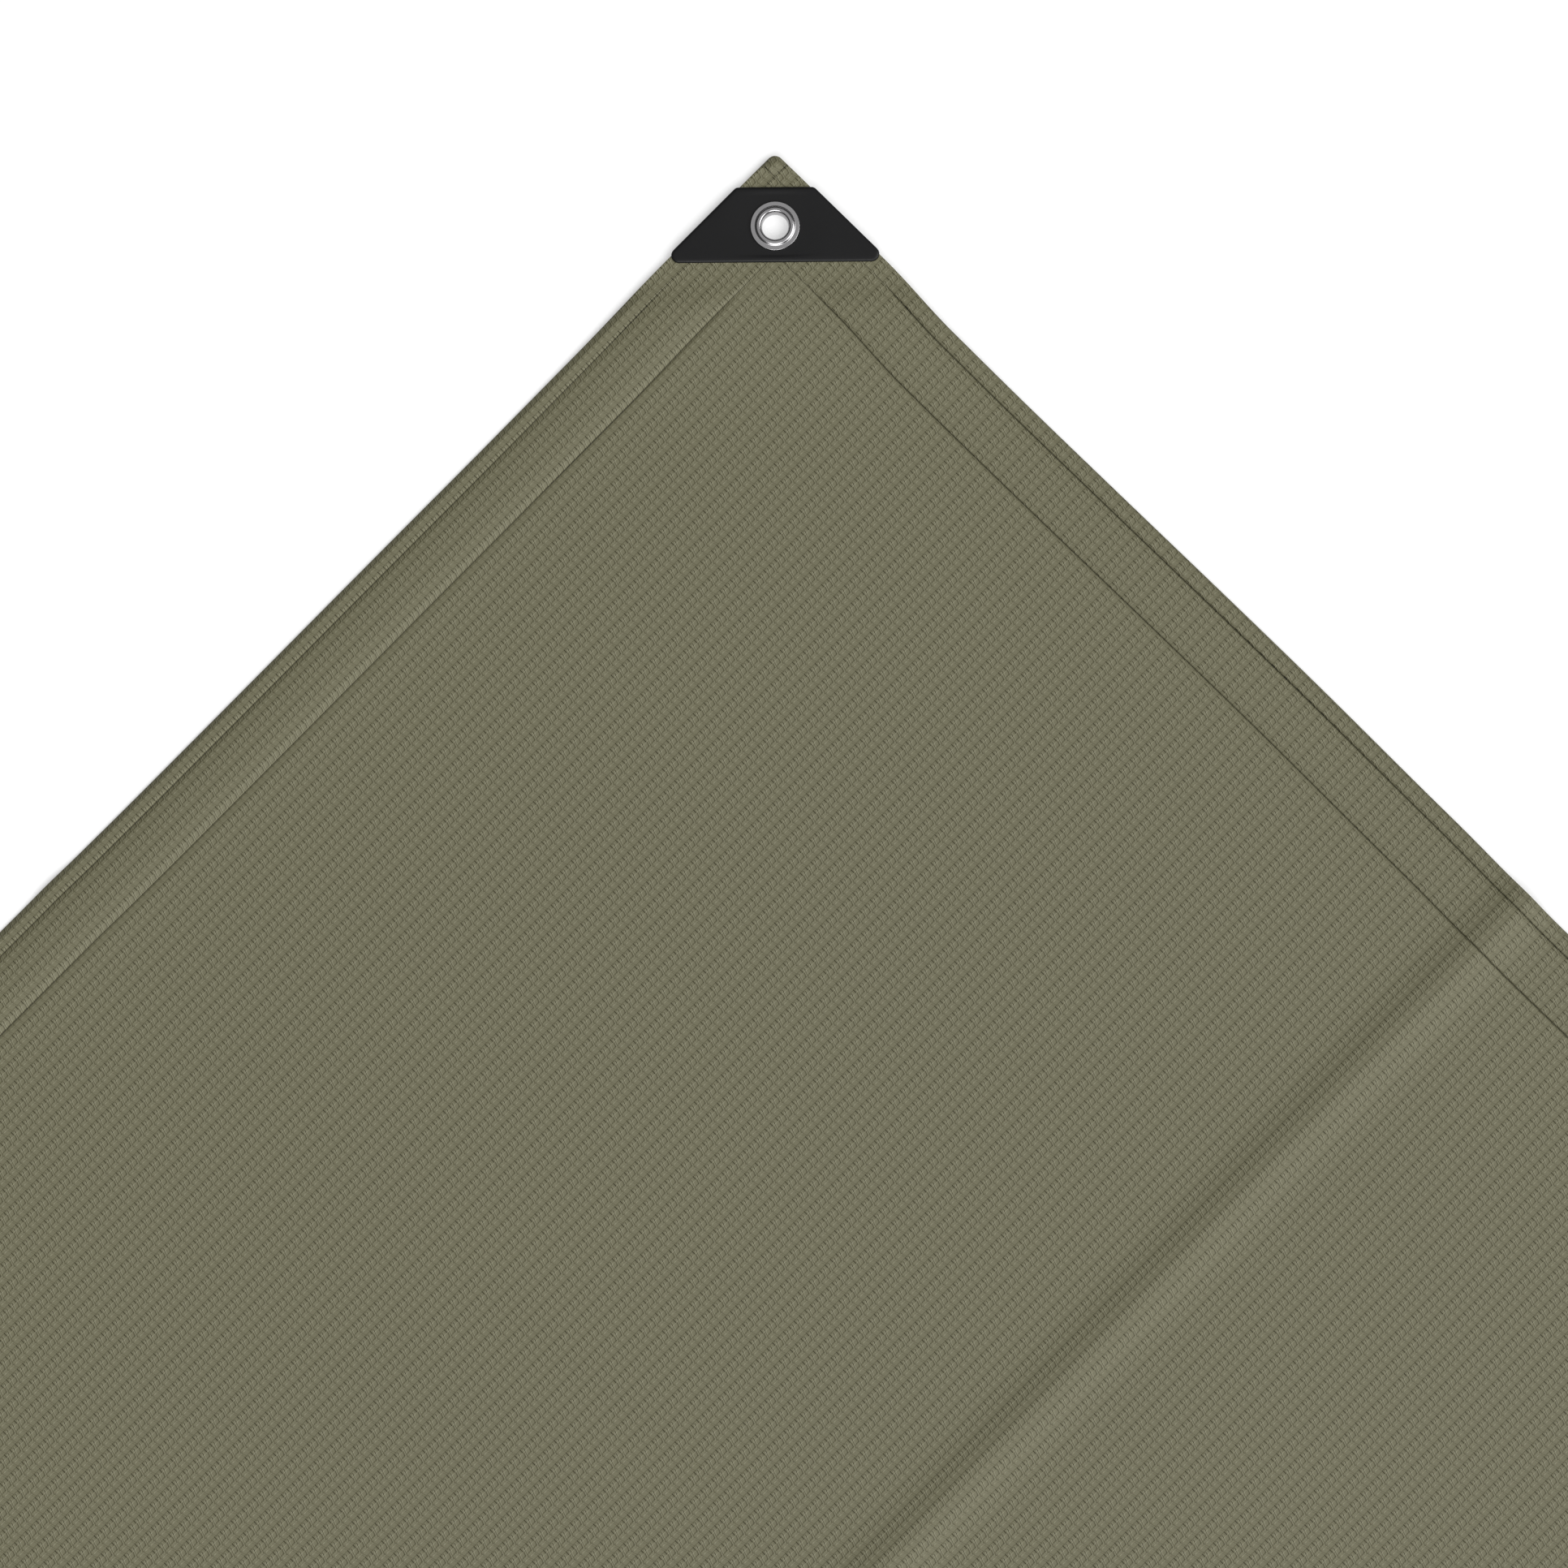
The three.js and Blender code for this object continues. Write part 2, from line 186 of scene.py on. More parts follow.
# Heights of the stack at a corner
LOWER_PLATE_BOTTOM = WASHER_THICK + GAP
LOWER_PLATE_TOP = LOWER_PLATE_BOTTOM + 0.7
CORNER_LIFT = LOWER_PLATE_TOP + GAP
PRESSED_CLOTH = 1.6
UPPER_PLATE_BOTTOM = CORNER_LIFT + PRESSED_CLOTH + GAP
SLEEVE_TOP = UPPER_PLATE_BOTTOM + 0.8
FLANGE_BOTTOM = SLEEVE_TOP + GAP
FLANGE_TOP = FLANGE_BOTTOM + FLANGE_THICK
PRESSED = {"rises": 7.5, "from": 11, "to": 64, "ends": 76}
RAMP_END = 135


def patch(name, at, half, soft, tone, slant=0, rise=0):
    return {"name": name, "at": at, "half": half, "soft": soft, "tone": tone, "slant": slant,
            "rise": rise}


# The weave's repeat, charted. Each mark is a slanted patch of one repeat: at, half and
# soft are its centre, half sizes and soft rims, along and across the rows in repeats, slant is
# its run along for each repeat across, tone is how much lighter or darker it looks, and rise is
# how high it stands in millimetres.
# The tone paints the weave's light and shade into its colour. The shade marks and the dark gaps, slots,
# splits, notches and breaks are painted shade in its hollows and under its ribs. The light marks, rims
# and streaks are painted highlights where the tapes face the lights.
WEAVE_MARKS = [
    patch("upper rib", (0.5, 0.355), (1, 0.1), (0.01, 0.03), 0, rise=0.1),
    patch("lower rib", (0.5, 0.852), (1, 0.118), (0.01, 0.03), 0, rise=0.1),
    patch("slanted shade", (0.925, 0.107), (0.072, 0.125), (0.075, 0.025), -0.2, slant=0.885, rise=-0.03),
    patch("slanted shade core", (0.885, 0.107), (0.03, 0.125), (0.04, 0.025), -0.1, slant=0.885),
    patch("foot shade", (0.26, 0.226), (0.27, 0.012), (0.05, 0.02), -0.24),
    patch("foot corner", (0.06, 0.222), (0.06, 0.018), (0.07, 0.025), -0.12),
    patch("foot end", (0.43, 0.23), (0.06, 0.012), (0.06, 0.02), -0.14),
    patch("tape edge light", (0.5, 0.085), (0.035, 0.1), (0.06, 0.03), 0.19, slant=0.9),
    patch("tape foot light", (0.54, 0.178), (0.05, 0.018), (0.07, 0.025), 0.12),
    patch("slot head", (0.45, 0.856), (0.042, 0.08), (0.045, 0.025), -0.3, slant=0.66, rise=-0.08),
    patch("slot line", (0.6, 0.05), (0.034, 0.16), (0.045, 0.03), -0.24, slant=0.774, rise=-0.04),
    patch("slot foot", (0.79, 0.3), (0.04, 0.075), (0.05, 0.03), -0.22, slant=0.774, rise=-0.04),
    patch("yarn light", (0.76, 0.08), (0.035, 0.235), (0.05, 0.04), 0.15, slant=0.772, rise=0.03),
    patch("yarn end light", (0.87, 0.265), (0.03, 0.02), (0.05, 0.03), 0.13),
    patch("upper rim", (0.5, 0.46), (1, 0.012), (0.01, 0.022), 0.05),
    patch("upper rim light", (0.41, 0.458), (0.09, 0.014), (0.14, 0.024), 0.19),
    patch("upper rim break", (0.79, 0.452), (0.055, 0.028), (0.06, 0.028), -0.26, slant=-0.6, rise=-0.03),
    patch("upper rim shade", (0.65, 0.44), (0.05, 0.024), (0.06, 0.03), -0.16),
    patch("lower rim", (0.5, 0.973), (1, 0.012), (0.01, 0.022), 0.05),
    patch("lower rim light", (0.37, 0.973), (0.06, 0.016), (0.12, 0.024), 0.2),
    patch("lower rim break", (0.93, 0.965), (0.045, 0.024), (0.05, 0.025), -0.22),
    patch("rib shade", (0.5, 0.732), (1, 0.007), (0.01, 0.015), -0.11),
    patch("rib shade patch", (0.59, 0.775), (0.07, 0.016), (0.06, 0.022), -0.26),
    patch("gap", (0.9, 0.83), (0.055, 0.105), (0.03, 0.012), -0.32, rise=-0.25),
    patch("gap head", (0.84, 0.71), (0.05, 0.018), (0.05, 0.02), -0.13),
    patch("first split", (0.71, 0.6), (0.028, 0.115), (0.05, 0.025), -0.2, slant=-0.85, rise=-0.03),
    patch("second split", (0.93, 0.61), (0.025, 0.1), (0.05, 0.02), -0.19, slant=-0.54, rise=-0.02),
    patch("notch point", (0.86, 0.375), (0.06, 0.03), (0.05, 0.03), -0.15),
    patch("notch arm", (0.81, 0.425), (0.035, 0.04), (0.05, 0.02), -0.13, slant=-1.1),
    patch("notch shade", (0.68, 0.41), (0.1, 0.03), (0.08, 0.03), -0.06),
    patch("fold arc", (0.06, 0.42), (0.12, 0.025), (0.08, 0.03), -0.09),
    patch("fold arc end", (0.03, 0.495), (0.03, 0.03), (0.06, 0.035), -0.1, slant=-0.6),
    patch("yarn streak", (0.31, 0.325), (0.035, 0.05), (0.045, 0.035), 0.16),
    patch("second yarn streak", (0.04, 0.335), (0.03, 0.05), (0.045, 0.035), 0.12),
    patch("third yarn streak", (0.55, 0.32), (0.03, 0.05), (0.05, 0.035), 0.1),
    patch("tape light", (0.29, 0.85), (0.035, 0.08), (0.06, 0.04), 0.09),
    patch("tape shade", (0.09, 0.87), (0.06, 0.07), (0.06, 0.04), -0.06),
    patch("slot light", (0.56, 0.875), (0.03, 0.04), (0.05, 0.035), 0.15, slant=0.3),
]

# Where the first repeat starts, in from the cloth's +X and +Y edges
WEAVE_START = (2.49, 1.8)
# How far the tapes wander along their rows, in repeats, and how closely: the noise's scale
WANDER = 0.16
WANDER_SCALE = 55

CORNER_TURNS = 4


class TarpClothSettings(bpy.types.PropertyGroup):
    colour: FloatVectorProperty(
        name="Colour", description="Colour of the woven tapes", subtype="COLOR",
        default=(0.114, 0.1084, 0.0637), min=0, max=1)
    roughness: FloatProperty(
        name="Roughness", description="How dull the tapes are", subtype="FACTOR",
        default=0.62, min=0, max=1)
    crease_spread: FloatProperty(
        name="Crease Spread", description="Multiplies how far each crease has relaxed",
        default=1, min=0.4, max=2)
    waviness: FloatProperty(
        name="Waviness", description="Height of the slow waves in the laid cloth",
        unit="LENGTH", default=0.0003, min=0, max=0.002)


class TarpWeaveSettings(bpy.types.PropertyGroup):
    tape_pitch: FloatProperty(
        name="Tape Pitch", description="Repeat of the weave along a row",
        unit="LENGTH", default=0.003685, min=0.001, max=0.02)
    row_pitch: FloatProperty(
        name="Row Pitch", description="Repeat of the weave across the rows",
        unit="LENGTH", default=0.0083, min=0.001, max=0.04)
    contrast: FloatProperty(
        name="Contrast", description="How strongly the tapes stand out in tone",
        default=1.16, min=0, max=3)
    relief: FloatProperty(
        name="Relief", description="Multiplies the height of the woven tapes",
        default=1, min=0, max=5)


class TarpSleeveSettings(bpy.types.PropertyGroup):
    colour: FloatVectorProperty(
        name="Colour", description="Colour of the moulded sleeves", subtype="COLOR",
        default=(0.0055, 0.0055, 0.0058), min=0, max=1)
    roughness: FloatProperty(
        name="Roughness", description="How dull the moulded sleeves are",
        subtype="FACTOR", default=0.42, min=0, max=1)
    crown: FloatProperty(
        name="Crown", description="How much the top face swells above its rim",
        unit="LENGTH", default=0.00034, min=0, max=0.001)
    dish: FloatProperty(
        name="Dish", description="How deep the top face dips round the eyelet",
        unit="LENGTH", default=0.00036, min=0, max=0.001)


class TarpEyeletSettings(bpy.types.PropertyGroup):
    colour: FloatVectorProperty(
        name="Colour", description="Colour of the metal", subtype="COLOR",
        default=(0.31, 0.305, 0.31), min=0, max=1)
    roughness: FloatProperty(
        name="Roughness", description="How dull the metal is", subtype="FACTOR",
        default=0.23, min=0, max=1)
    bead_height: FloatProperty(
        name="Bead Height", description="Height of the raised rim over the flange",
        unit="LENGTH", default=0.00076, min=0, max=0.002)
    steps: IntProperty(
        name="Steps", description="Faces round each ring", default=96, min=24, max=160)


class TarpStageSettings(bpy.types.PropertyGroup):
    floor_colour: FloatVectorProperty(
        name="Floor Colour", description="Colour of the studio floor", subtype="COLOR",
        default=(0.45, 0.45, 0.45), min=0, max=1)
    floor_glow: FloatProperty(
        name="Floor Glow", description="Light that the lit floor sheet gives off",
        default=0.46, min=0, max=2)
    floor_size: FloatProperty(
        name="Floor Size", description="Side of the floor", unit="LENGTH",
        default=40, min=2)
    key_strength: FloatProperty(
        name="Key Strength", description="Strength of the broad light on the right",
        default=2.75, min=0)
    side_strength: FloatProperty(
        name="Side Strength", description="Strength of the narrower light from below",
        default=2.23, min=0)
    light_elevation: FloatProperty(
        name="Light Elevation", description="Height of the two lights over the horizon",
        subtype="ANGLE", default=math.radians(43), min=0, max=math.pi / 2)
    sky_zenith: FloatProperty(
        name="Sky Zenith", description="Brightness straight above", default=0.8, min=0)
    sky_horizon: FloatProperty(
        name="Sky Horizon", description="Brightness from the horizon up to the soft ceiling",
        default=0.09, min=0)


# The two lights: the azimuth that each stands at and the angle that it covers, in degrees
KEY_AZIMUTH = -55
KEY_SPREAD = 50
SIDE_AZIMUTH = -135
SIDE_SPREAD = 42
# The ceiling's glow fades in between these two heights of a view ray, as sines
CEILING_FROM = 0.74
CEILING_TO = 0.94

# Camera: the point that the middle of the picture shows, where the camera hangs over it, and
# the way that the picture's top faces, as an angle from +X
AIM = (281.48, 276.99, 1.2)
CAMERA_AT = (217.46, 150.83, 1960.6)
PICTURE_UP = math.radians(44.77)
LENS = 93.17
SENSOR = 36


# Reading the tables


def column(rows, name):
    return np.array([row[name] for row in rows], float)


def read_table(rows, key, name, at):
    return np.interp(at, column(rows, key), column(rows, name))


def read_softly(rows, key, name, at):
    """The same as read_table, with each step between two rows eased in and out."""
    keys, values = column(rows, key), column(rows, name)
    place = np.interp(at, keys, np.arange(len(keys)))
    whole = np.clip(np.floor(place).astype(int), 0, len(keys) - 2)
    share = place - whole
    eased = share * share * (3 - 2 * share)
    return values[whole] + eased * (values[whole + 1] - values[whole])


def smooth_step(value, low, high):
    share = np.clip((value - low) / (high - low), 0, 1)
    return share * share * (3 - 2 * share)


def fade(distance, reach):
    return 1 - smooth_step(distance, reach / 3, reach)


# The cloth's shape, on the straight grid that it is worked out on


def diagonal_distance(x, y):
    return ((HALF - np.abs(x)) + (HALF - np.abs(y))) / math.sqrt(2)


def pressing(x, y):
    diagonal = diagonal_distance(x, y)
    entering = smooth_step(diagonal, PRESSED["rises"], PRESSED["from"])
    return entering * (1 - smooth_step(diagonal, PRESSED["to"], PRESSED["ends"]))


def crease_shape(offset, width):
    """A soft ridge, steepest at its width from the crest, as a fold that has relaxed."""
    return np.exp(-0.5 * (offset / width) ** 2)


def slow_waves(x, y):
    """Between 0 and 1: long shallow waves, gone towards the hems, creases and corners."""
    wave = (np.sin(x / 61 + 1.1 * np.sin(y / 97)) * np.cos(y / 74 + 0.8 * np.sin(x / 118 + 2))
            + 0.6 * np.sin((x + 0.7 * y) / 43 + 0.9))
    edge = np.minimum(HALF - np.abs(x), HALF - np.abs(y))
    calm = smooth_step(edge, 30, 110) * smooth_step(diagonal_distance(x, y), 90, 180)
    return calm * (0.5 + wave / 3.2)


def lift_at(x, y, settings):
    long_rise = read_softly(LONG_CREASE, "along", "rise", x)
    faint_rise = read_softly(FAINT_CREASE, "along", "rise", y)
    spread = settings.crease_spread
    creases = (long_rise * crease_shape(y - LONG_MIDDLE, LONG_WIDTH * spread)
               + faint_rise * crease_shape(x - FAINT_MIDDLE, FAINT_WIDTH * spread))
    ramp = smooth_step(diagonal_distance(x, y), PRESSED["to"], RAMP_END)
    waves = settings.waviness / MM * slow_waves(x, y)
    return creases + CORNER_LIFT * (1 - ramp) + waves


def section_at(x, y, face):
    inset_x, inset_y = HALF - np.abs(x), HALF - np.abs(y)
    from_x = read_table(HEM_SECTION, "inset", face, inset_x)
    from_y = read_table(HEM_SECTION, "inset", face, inset_y)
    if face == "under":
        return np.maximum(from_x, from_y)
    crossing = (inset_x < INNER_LINE) & (inset_y < INNER_LINE)
    return np.where(crossing, np.minimum(from_x, from_y), from_x + from_y - LAYER)


def height_at(x, y, face, settings):
    pressed = PRESSED_CLOTH if face == "top" else 0
    share = pressing(x, y)
    return lift_at(x, y, settings) + share * pressed + (1 - share) * section_at(x, y, face)


def bent_position(x, y):
    """Where the points of the straight grid really lie, with the edges' and creases' bends."""
    inset_x, inset_y = HALF - np.abs(x), HALF - np.abs(y)
    x_table = np.where(x > 0, read_softly(EAST_EDGE, "along", "inward", HALF - y),
                       read_softly(FAR_EDGES, "along", "inward", HALF - y))
    y_table = np.where(y > 0, read_softly(NORTH_EDGE, "along", "inward", HALF - x),
                       read_softly(FAR_EDGES, "along", "inward", HALF - x))
    long_shift = read_softly(LONG_CREASE, "along", "crest", x) - LONG_MIDDLE
    faint_shift = read_softly(FAINT_CREASE, "along", "crest", y) - FAINT_MIDDLE
    x_inward = x_table * fade(inset_x, EDGE_BEND_REACH)
    y_inward = y_table * fade(inset_y, EDGE_BEND_REACH)
    long_near = fade(np.abs(y - LONG_MIDDLE), CREASE_BEND_REACH)
    faint_near = fade(np.abs(x - FAINT_MIDDLE), CREASE_BEND_REACH)
    return (x - np.sign(x) * x_inward + faint_shift * faint_near,
            y - np.sign(y) * y_inward + long_shift * long_near)


def round_the_tips(x, y):
    """Draws the square tips in to arcs, leaving everything past the arcs' ends where it is."""
    into_x = TIP_RADIUS - (HALF - np.abs(x))
    into_y = TIP_RADIUS - (HALF - np.abs(y))
    in_tip = (into_x > 0) & (into_y > 0)
    square = np.maximum(into_x, into_y)
    radial = np.maximum(np.hypot(into_x, into_y), 1e-9)
    shrink = np.where(in_tip, square / radial, 1)
    new_x = np.where(in_tip, HALF - TIP_RADIUS + into_x * shrink, np.abs(x))
    new_y = np.where(in_tip, HALF - TIP_RADIUS + into_y * shrink, np.abs(y))
    return np.sign(x) * new_x, np.sign(y) * new_y


def grid_lines(crease_middle):
    section = HALF - column(HEM_SECTION, "inset")
    ramp = HALF - np.arange(HEM_SECTION[-1]["inset"] + RAMP_STEP / 2, RAMP_LINES_END, RAMP_STEP)
    side = np.concatenate([section, ramp])
    offsets = np.array(CREASE_OFFSETS)
    crease = np.concatenate([crease_middle + offsets, crease_middle - offsets[1:]])
    fixed = np.concatenate([side, -side, crease])
    reach = HALF - RAMP_LINES_END
    count = int(round(2 * reach / MIDDLE_STEP))
    middle = np.linspace(-reach, reach, count)
    spare = [m for m in middle if np.abs(fixed - m).min() > LEAST_STEP * MIDDLE_STEP]
    return np.sort(np.concatenate([fixed, spare]))


def seam_shade_mask(x, y):
    """Where the hem lines' painted shade falls: 1 on the two hem lines and 0 from the next grid line on.
    """
    nearest = np.full(x.shape, np.inf)
    for inset in (HALF - np.abs(x), HALF - np.abs(y)):
        for line in (OUTER_LINE, INNER_LINE):
            nearest = np.minimum(nearest, np.abs(inset - line))
    return np.clip(1 - nearest / LINE_REACH, 0, 1)


def calmness(x, y):
    """How much calmer the weave is just inside the inner hem line, from 0 to 1."""
    inset = np.minimum(HALF - np.abs(x), HALF - np.abs(y))
    inside = (inset > INNER_LINE - LINE_REACH / 2)
    return np.where(inside, 1 - smooth_step(inset, INNER_LINE + 1, INNER_LINE + 3), 0)


def build_cloth(settings):
    """One closed skin: an upper and a lower grid, joined round the rim."""
    x_lines, y_lines = grid_lines(FAINT_MIDDLE), grid_lines(LONG_MIDDLE)
    columns, rows = len(x_lines), len(y_lines)
    x, y = np.meshgrid(x_lines, y_lines)
    tip_x, tip_y = round_the_tips(x, y)
    bent_x, bent_y = bent_position(tip_x, tip_y)
    layers = [np.stack([bent_x, bent_y, height_at(x, y, face, settings)], axis=-1)
              for face in ("top", "under")]
    points = np.concatenate([layer.reshape(-1, 3) for layer in layers]) * MM
    upper = np.arange(rows * columns).reshape(rows, columns)
    lower = upper + rows * columns
    top = np.stack([upper[:-1, :-1], upper[:-1, 1:], upper[1:, 1:], upper[1:, :-1]], axis=-1)
    under = np.stack([lower[:-1, :-1], lower[1:, :-1], lower[1:, 1:], lower[:-1, 1:]], axis=-1)
    rim = []
    rim += [(lower[0, c], lower[0, c + 1], upper[0, c + 1], upper[0, c])
            for c in range(columns - 1)]
    rim += [(upper[-1, c], upper[-1, c + 1], lower[-1, c + 1], lower[-1, c])
            for c in range(columns - 1)]
    rim += [(upper[r, 0], upper[r + 1, 0], lower[r + 1, 0], lower[r, 0])
            for r in range(rows - 1)]
    rim += [(lower[r, -1], lower[r + 1, -1], upper[r + 1, -1], upper[r, -1])
            for r in range(rows - 1)]
    faces = np.concatenate([top.reshape(-1, 4), under.reshape(-1, 4), np.array(rim)])

    mesh = bpy.data.meshes.new("tarp_sheet")
    mesh.from_pydata(points.tolist(), [], faces.tolist())
    laid = np.stack([bent_x.ravel(), bent_y.ravel()], axis=-1)
    laid = np.concatenate([laid, laid])
    flat = (HALF - laid[faces] - np.array(WEAVE_START)) * MM
    layer = mesh.uv_layers.new(name="Flat")
    layer.data.foreach_set("uv", flat.astype(np.float32).ravel())
    # Masks for the painted shade in the hem lines' grooves and for the calmer weave beside them
    for name, values in (("seam_shade", seam_shade_mask(x, y)), ("calm", calmness(x, y))):
        attribute = mesh.attributes.new(name, "FLOAT", "POINT")
        both = np.concatenate([values.ravel(), values.ravel()])
        attribute.data.foreach_set("value", both.astype(np.float32))
    mesh.polygons.foreach_set("use_smooth", [True] * len(mesh.polygons))
    return mesh


# Making pieces


def add_object(name, mesh):
    piece = bpy.data.objects.new(name, mesh)
    bpy.context.scene.collection.objects.link(piece)
    return piece


def baked(piece):
    """The piece with its modifiers worked into a plain mesh."""
    bpy.context.view_layer.update()
    evaluated = piece.evaluated_get(bpy.context.evaluated_depsgraph_get())
    mesh = bpy.data.meshes.new_from_object(evaluated)
    old = piece.data
    piece.modifiers.clear()
    piece.data = mesh
    if old.users == 0:
        bpy.data.meshes.remove(old)
    return piece


def cut(piece, tool_mesh, name):
    """Cuts the tool's shape out of the piece, and removes the tool."""
    tool = add_object(name, tool_mesh)
    modifier = piece.modifiers.new("cut", "BOOLEAN")
    modifier.operation = "DIFFERENCE"
    modifier.solver = "EXACT"
    modifier.object = tool
    baked(piece)
    bpy.data.objects.remove(tool)
    bpy.data.meshes.remove(tool_mesh)
    return piece


def mesh_from(name, points, faces):
    mesh = bpy.data.meshes.new(name)
    mesh.from_pydata([tuple(c * MM for c in point) for point in points], [], faces)
    return mesh


def prism(name, outline, bottom, top):
    """An upright solid over a closed outline that runs anticlockwise."""
    count = len(outline)
    points = [(x, y, bottom) for x, y in outline] + [(x, y, top) for x, y in outline]
    sides = [(i, (i + 1) % count, (i + 1) % count + count, i + count) for i in range(count)]
    faces = [tuple(reversed(range(count))), tuple(range(count, 2 * count)), *sides]
    return mesh_from(name, points, faces)


def circle(centre, radius, steps):
    return [(centre[0] + radius * math.cos(math.tau * i / steps),
             centre[1] + radius * math.sin(math.tau * i / steps)) for i in range(steps)]


def corner_places():
    """Each corner's point and the turn that points its diagonal at the middle of the tarp."""
    return [((sx * HALF, sy * HALF), math.atan2(-sy, -sx))
            for sx, sy in ((1, 1), (-1, 1), (-1, -1), (1, -1))]


# Corner sleeves, worked out in a corner's own frame: x runs in from the tip along the diagonal


def across_at(diagonal, outward):
    return diagonal + outward * math.sqrt(2)


def rounded_outline(corners, steps):
    """Points and outward normals round a polygon of (x, y, radius), its corners as arcs."""
    points, normals = [], []
    count = len(corners)
    for i, (x, y, radius) in enumerate(corners):
        here = Vector((x, y))
        back = (Vector(corners[i - 1][:2]) - here).normalized()
        ahead = (Vector(corners[(i + 1) % count][:2]) - here).normalized()
        half_angle = math.acos(max(-1, min(1, back.dot(ahead)))) / 2
        centre = here + (back + ahead).normalized() * (radius / math.sin(half_angle))
        reach = radius / math.tan(half_angle)
        start, end = here + back * reach - centre, here + ahead * reach - centre
        turn = math.atan2(start.x * end.y - start.y * end.x, start.dot(end))
        for step in range(steps + 1):
            spoke = start.copy()
            spoke.rotate(Matrix.Rotation(turn * step / steps, 2))
            points.append(centre + spoke)
            normals.append(spoke.normalized())
    return points, normals


SLEEVE_ARC_STEPS = 8
SLEEVE_RUN_STEPS = 14
SLEEVE_TOP_RINGS = 12
DISH_FROM = 11
DISH_TO = 27
# Rounding of the sleeve's rim: how far in from its outline, and how far below its crown
UNDER_RIM = [(0.9, 0), (0.45, 0.06), (0.12, 0.3), (0, 0.7)]
UPPER_RIM = [(0, 1.15), (0.06, 0.8), (0.24, 0.48), (0.52, 0.24), (0.95, 0.09), (1.6, 0.02), (2.4, 0)]


def sleeve_outline():
    """The sleeve's outline and its outward normals, with its straight runs divided too."""
    near, far = across_at(SLEEVE_NEAR, SLEEVE_PROUD), across_at(SLEEVE_FAR, SLEEVE_PROUD)
    arc_points, arc_normals = rounded_outline([
        (SLEEVE_NEAR, -near, SLEEVE_NEAR_RADIUS),
        (SLEEVE_FAR, -far, SLEEVE_FAR_RADIUS),
        (SLEEVE_FAR, far, SLEEVE_FAR_RADIUS),
        (SLEEVE_NEAR, near, SLEEVE_NEAR_RADIUS),
    ], SLEEVE_ARC_STEPS)
    points, normals = [], []
    for i, (point, normal) in enumerate(zip(arc_points, arc_normals)):
        following = arc_points[(i + 1) % len(arc_points)]
        steps = SLEEVE_RUN_STEPS if (following - point).length > SLEEVE_NEAR_RADIUS else 1
        for step in range(steps):
            points.append(point.lerp(following, step / steps))
            normals.append(normal)
    return points, normals


def build_sleeve(settings):
    """A flat tube open at both ends: a rounded slab with an eyelet hole, less its passage."""
    outline, normals = sleeve_outline()
    crown = SLEEVE_TOP + settings.crown / MM
    dish = settings.dish / MM
    eyelet = Vector((EYELET_AT, 0))
    spokes = [(point - eyelet).normalized() for point in outline]

    def inset_loop(inset, height):
        loop = [point - normal * inset for point, normal in zip(outline, normals)]
        return [(p.x, p.y, height) for p in loop]

    def toward_hole(inset, share, height_of):
        loop = []
        for point, normal, spoke in zip(outline, normals, spokes):
            rim = point - normal * inset
            hole = eyelet + spoke * THROUGH_RADIUS
            place = rim.lerp(hole, share)
            loop.append((place.x, place.y, height_of((place - eyelet).length)))
        return loop

    def top_height(radius):
        return crown - dish * float(1 - smooth_step(radius, DISH_FROM, DISH_TO))

    inner_under, inner_upper = UNDER_RIM[0][0], UPPER_RIM[-1][0]
    loops = [toward_hole(inner_under, 1, lambda radius: LOWER_PLATE_BOTTOM)]
    loops += [inset_loop(inset, LOWER_PLATE_BOTTOM + rise) for inset, rise in UNDER_RIM]
    loops += [inset_loop(inset, crown - drop) for inset, drop in UPPER_RIM]
    shares = [i / SLEEVE_TOP_RINGS for i in range(1, SLEEVE_TOP_RINGS + 1)]
    loops += [toward_hole(inner_upper, share, top_height) for share in shares]
    count = len(outline)
    points = [point for loop in loops for point in loop]
    faces = []
    for k in range(len(loops)):
        after = (k + 1) % len(loops)
        for i in range(count):
            j = (i + 1) % count
            faces.append((k * count + i, k * count + j, after * count + j, after * count + i))
    slab = add_object("sleeve_slab", mesh_from("sleeve_slab", points, faces))
    before, beyond = SLEEVE_NEAR - 5, SLEEVE_FAR + 5
    passage = [(before, -across_at(before, GAP)), (beyond, -across_at(beyond, GAP)),
               (beyond, across_at(beyond, GAP)), (before, across_at(before, GAP))]
    tool = prism("sleeve_passage", passage, LOWER_PLATE_TOP, UPPER_PLATE_BOTTOM)
    return cut(slab, tool, "sleeve_passage")


# Eyelets and washers, as closed sections turned round the eyelet's own axis

# Raised rim of the eyelet, from outside in: rise is its share of the bead's height
BEAD_SECTION = table("radius rise", [
    (10.08, 0),
    (9.96, 0.02),
    (9.82, 0.08),
    (9.68, 0.2),
    (9.54, 0.36),
    (9.36, 0.56),
    (9.18, 0.72),
    (8.98, 0.85),
    (8.76, 0.94),
    (8.52, 0.985),
    (8.25, 1),
    (7.95, 1),
    (7.72, 0.98),
    (7.55, 0.92),
    (7.4, 0.83),
    (7.26, 0.7),
    (7.14, 0.56),
    (7.03, 0.4),
    (6.94, 0.23),
    (6.86, 0.03),
    (6.77, -0.22),
    (6.69, -0.56),
    (6.61, -1),
    (6.54, -1.6),
    (6.48, -2.4),
])
THROAT_RADIUS = 6.4
THROAT_DROP = 3


